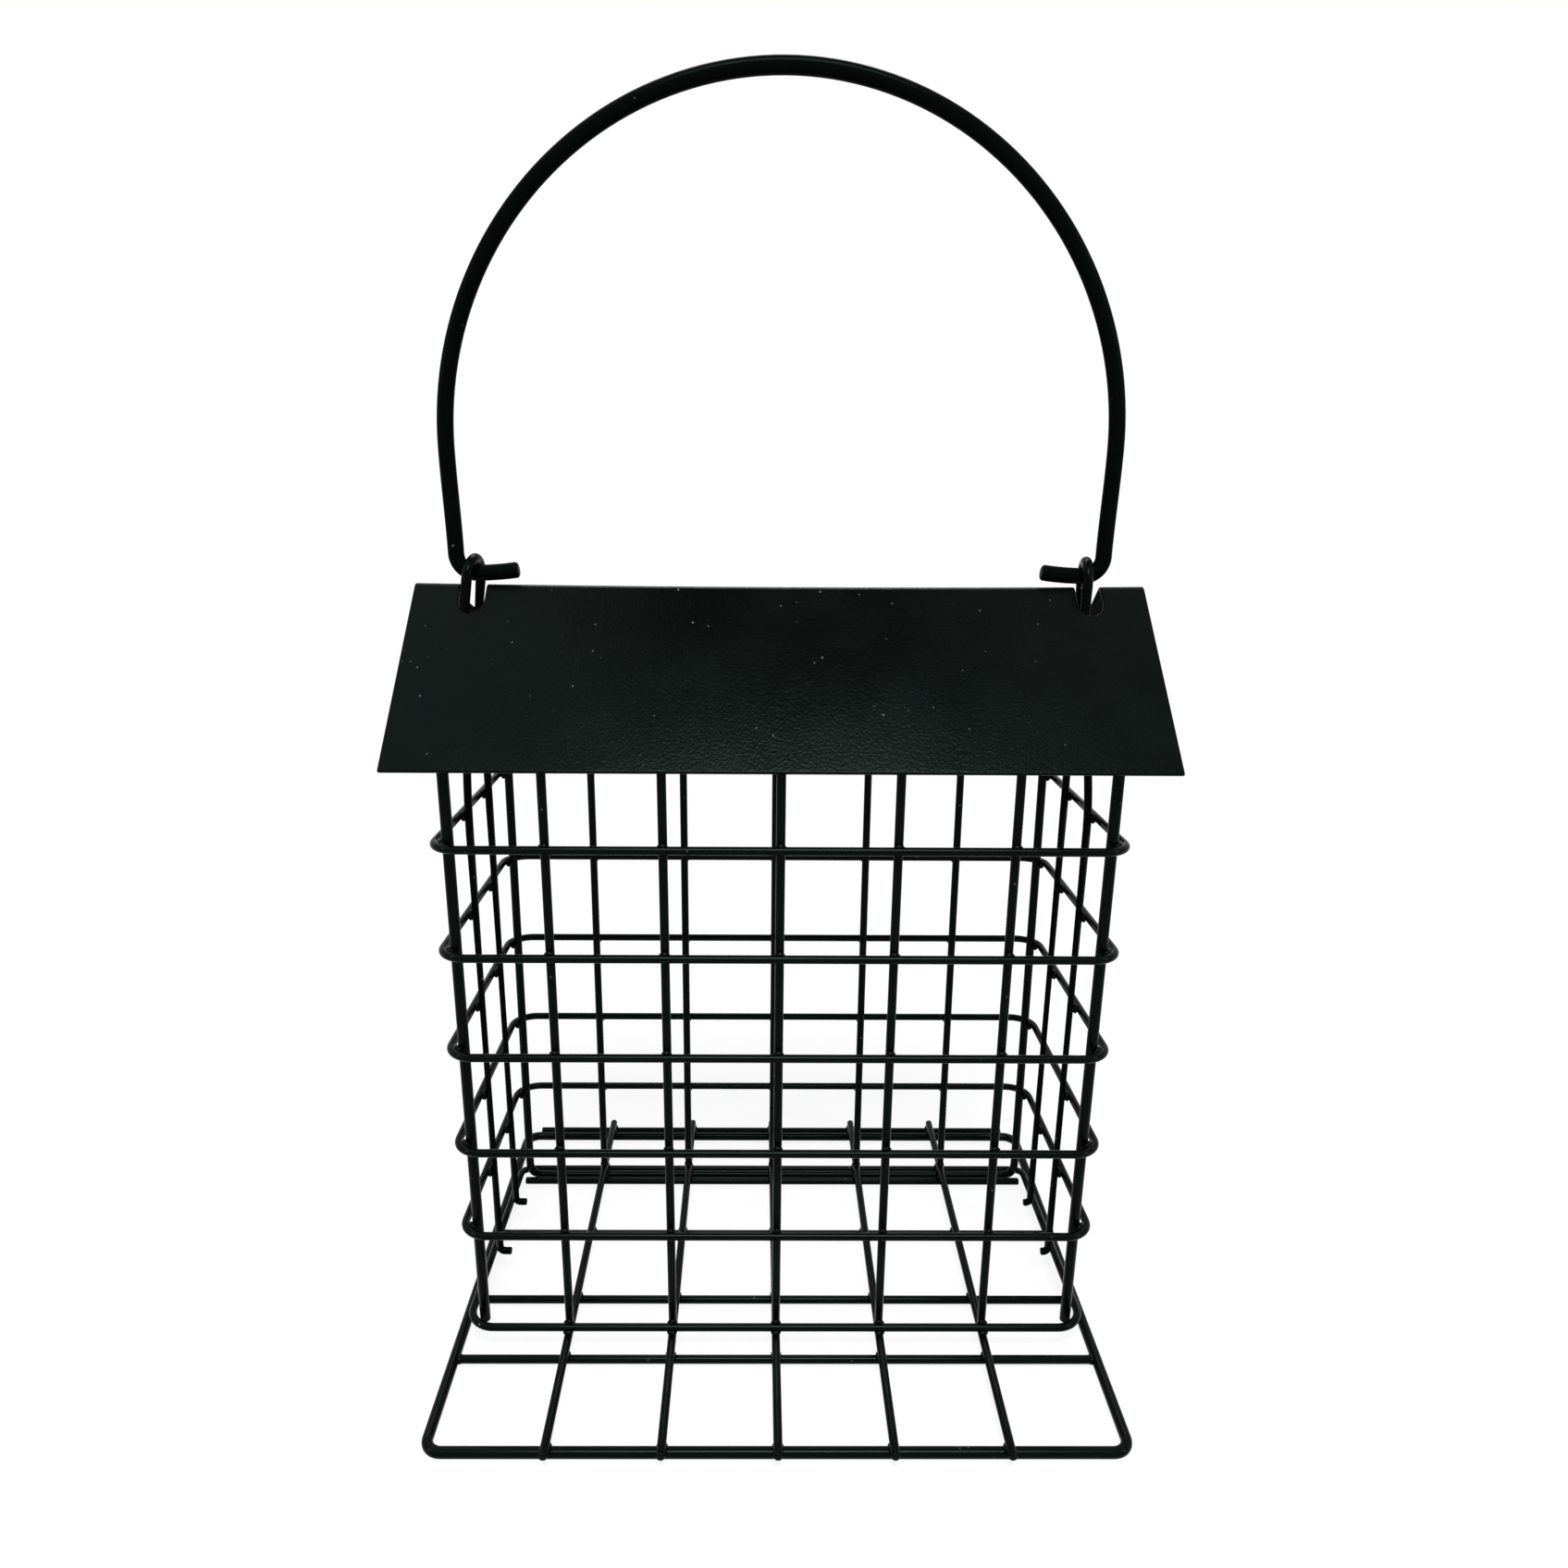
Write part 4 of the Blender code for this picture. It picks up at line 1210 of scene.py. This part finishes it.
@dataclass
class Studio:
    """The pale floor, the white surround, the soft lamps and the camera."""

    floor_half: float = 4.0
    floor_z: float = -0.0001
    floor_colour: Triple = (0.88, 0.88, 0.88)
    floor_white_share: float = 0.86
    shadow_reach: tuple[float, float] = (0.12, 0.55)
    fill: float = 0.24
    ceiling_left: float = 1.95
    ceiling_right: float = 1.30
    ceiling_gap: float = 0.09
    gap_left: tuple[float, float] = (-0.17, -0.07)
    gap_right: tuple[float, float] = (0.11, 0.21)
    wall_top: float = 0.55
    ceiling_from: float = 0.80
    middle: Triple = (0.0, 0.0, 0.10)
    camera_place: Triple = (-0.00410, -0.19879, 0.16691)
    camera_turn: Triple = (73.398, -0.335, -0.298)
    camera_shift: float = 0.01258
    sensor_width: float = 36.0
    focal_length: float = 25.6849
    nearest_seen: float = 0.01
    lamps: tuple[Lamp, ...] = (
        Lamp("top_front_softbox", 4, 62, 0.95, 0.52, 0.40, 13.0),
        Lamp("left_strip", -68, 22, 0.80, 0.06, 0.40, 1.2, (0.86, 0.94, 1.0)),
        Lamp("right_strip", 64, 24, 0.80, 0.06, 0.40, 1.4, (0.86, 0.94, 1.0)),
        Lamp("back_softbox", 180, 52, 1.00, 0.60, 0.40, 4.5),
    )

    def build(self) -> None:
        """Build the whole studio."""
        bpy.context.scene.view_settings.view_transform = "Standard"
        self.build_world()
        self.build_floor()
        for lamp in self.lamps:
            lamp.build(Vector(self.middle))
        self.build_camera()

    def seen(self, bench: NodeBench) -> Socket:
        """Tell the rays that show the white surround: those of the camera, gloss and clear matter.

        Args:
            bench: The tree to add the nodes to.

        Returns:
            A socket that is 1 for such a ray and 0 for any other.
        """
        rays = bench.add("ShaderNodeLightPath").outputs
        either = bench.maths("MAXIMUM", rays["Is Camera Ray"], rays["Is Glossy Ray"])
        return bench.maths("MAXIMUM", either, rays["Is Transmission Ray"])

    def build_world(self) -> None:
        """Make the surround: white walls, and a ceiling above them that is dark along its middle.

        The rays that don't show it get a soft even fill instead.
        """
        world = bpy.data.worlds.new("white_studio")
        world.use_nodes = True
        bpy.context.scene.world = world
        bench = NodeBench(world.node_tree)
        direction = bench.add("ShaderNodeTexCoord").outputs["Generated"]
        split = bench.add("ShaderNodeSeparateXYZ", {0: direction}).outputs
        gap = self.ceiling_gap
        left = bench.ramp(split["X"], *self.gap_left, self.ceiling_left - gap, 0.0)
        right = bench.ramp(split["X"], *self.gap_right, 0.0, self.ceiling_right - gap)
        ceiling = bench.maths("ADD", bench.maths("ADD", left, right), gap)
        wall = bench.ramp(split["Z"], self.wall_top, self.ceiling_from, 1.0, ceiling)
        light = {0: self.seen(bench), 2: self.fill, 3: wall}
        strength = bench.add("ShaderNodeMix", light, data_type="FLOAT").outputs[0]
        surround = bench.add("ShaderNodeBackground", color=(1, 1, 1, 1), strength=strength)
        bench.add("ShaderNodeOutputWorld", surface=surround.outputs[0])

    def build_floor(self) -> None:
        """Lay the pale floor, which shows nearly white but keeps the feeder's shadow."""
        x, y = self.floor_half * np.array([[-1, 1, 1, -1], [-1, -1, 1, 1]])
        floor = put_mesh("studio_floor", spots(x, y, self.floor_z), [np.arange(4)[None]])
        material = bpy.data.materials.new("pale_floor")
        material.use_nodes = True
        bench = NodeBench(material.node_tree)
        matt = bench.add("ShaderNodeBsdfDiffuse", color=(*self.floor_colour, 1)).outputs[0]
        white = bench.add("ShaderNodeEmission", color=(1, 1, 1, 1), strength=1.0).outputs[0]
        place = bench.add("ShaderNodeTexCoord").outputs["Object"]
        away = bench.add("ShaderNodeVectorMath", {0: place}, operation="LENGTH").outputs["Value"]
        plain = bench.ramp(away, *self.shadow_reach, self.floor_white_share, 1.0)
        share = bench.maths("MULTIPLY", self.seen(bench), plain)
        mix = bench.add("ShaderNodeMixShader", {0: share, 1: matt, 2: white})
        bench.add("ShaderNodeOutputMaterial", surface=mix.outputs[0])
        floor.data.materials.append(material)

    def build_camera(self) -> None:
        """Set up the camera at the photograph's place and angle."""
        data = bpy.data.cameras.new("front_camera")
        data.sensor_width = self.sensor_width
        data.lens = self.focal_length
        data.shift_x = self.camera_shift
        data.clip_start = self.nearest_seen
        camera = bpy.data.objects.new("front_camera", data)
        camera.location = self.camera_place
        camera.rotation_euler = Euler([radians(angle) for angle in self.camera_turn])
        bpy.context.scene.collection.objects.link(camera)
        bpy.context.scene.camera = camera


def main() -> None:
    """Load the frame, build each sub-assembly on it and set up the studio."""
    logging.basicConfig(level=logging.INFO, format="%(message)s")
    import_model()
    sizes = Sizes()
    # The wires and the bail get a thinner peel and fewer painted glints.
    thin = {"peel_depth": 0.000006, "painted_glint_share": 0.05}
    glossy = {**thin, "roughness_low": 0.14, "roughness_high": 0.19}
    wire_coat = PowderCoat("wire_powder_coat", specular=0.046, **glossy).make()
    hanger_coat = PowderCoat("hanger_powder_coat", specular=0.018, **glossy).make()
    roof_coat = PowderCoat("roof_powder_coat").make()
    underside_coat = PowderCoat("roof_underside_powder_coat", specular=0.012).make()
    bail_coat = PowderCoat("bail_powder_coat", specular=0.009, **thin).make()
    BaseGrid(sizes, wire_coat).build()
    Cage(sizes, wire_coat).build()
    Hangers(sizes, hanger_coat).build()
    Roof(sizes, roof_coat, underside_coat).build()
    Bail(sizes, bail_coat).build()
    Studio().build()


if __name__ == "__main__":
    main()
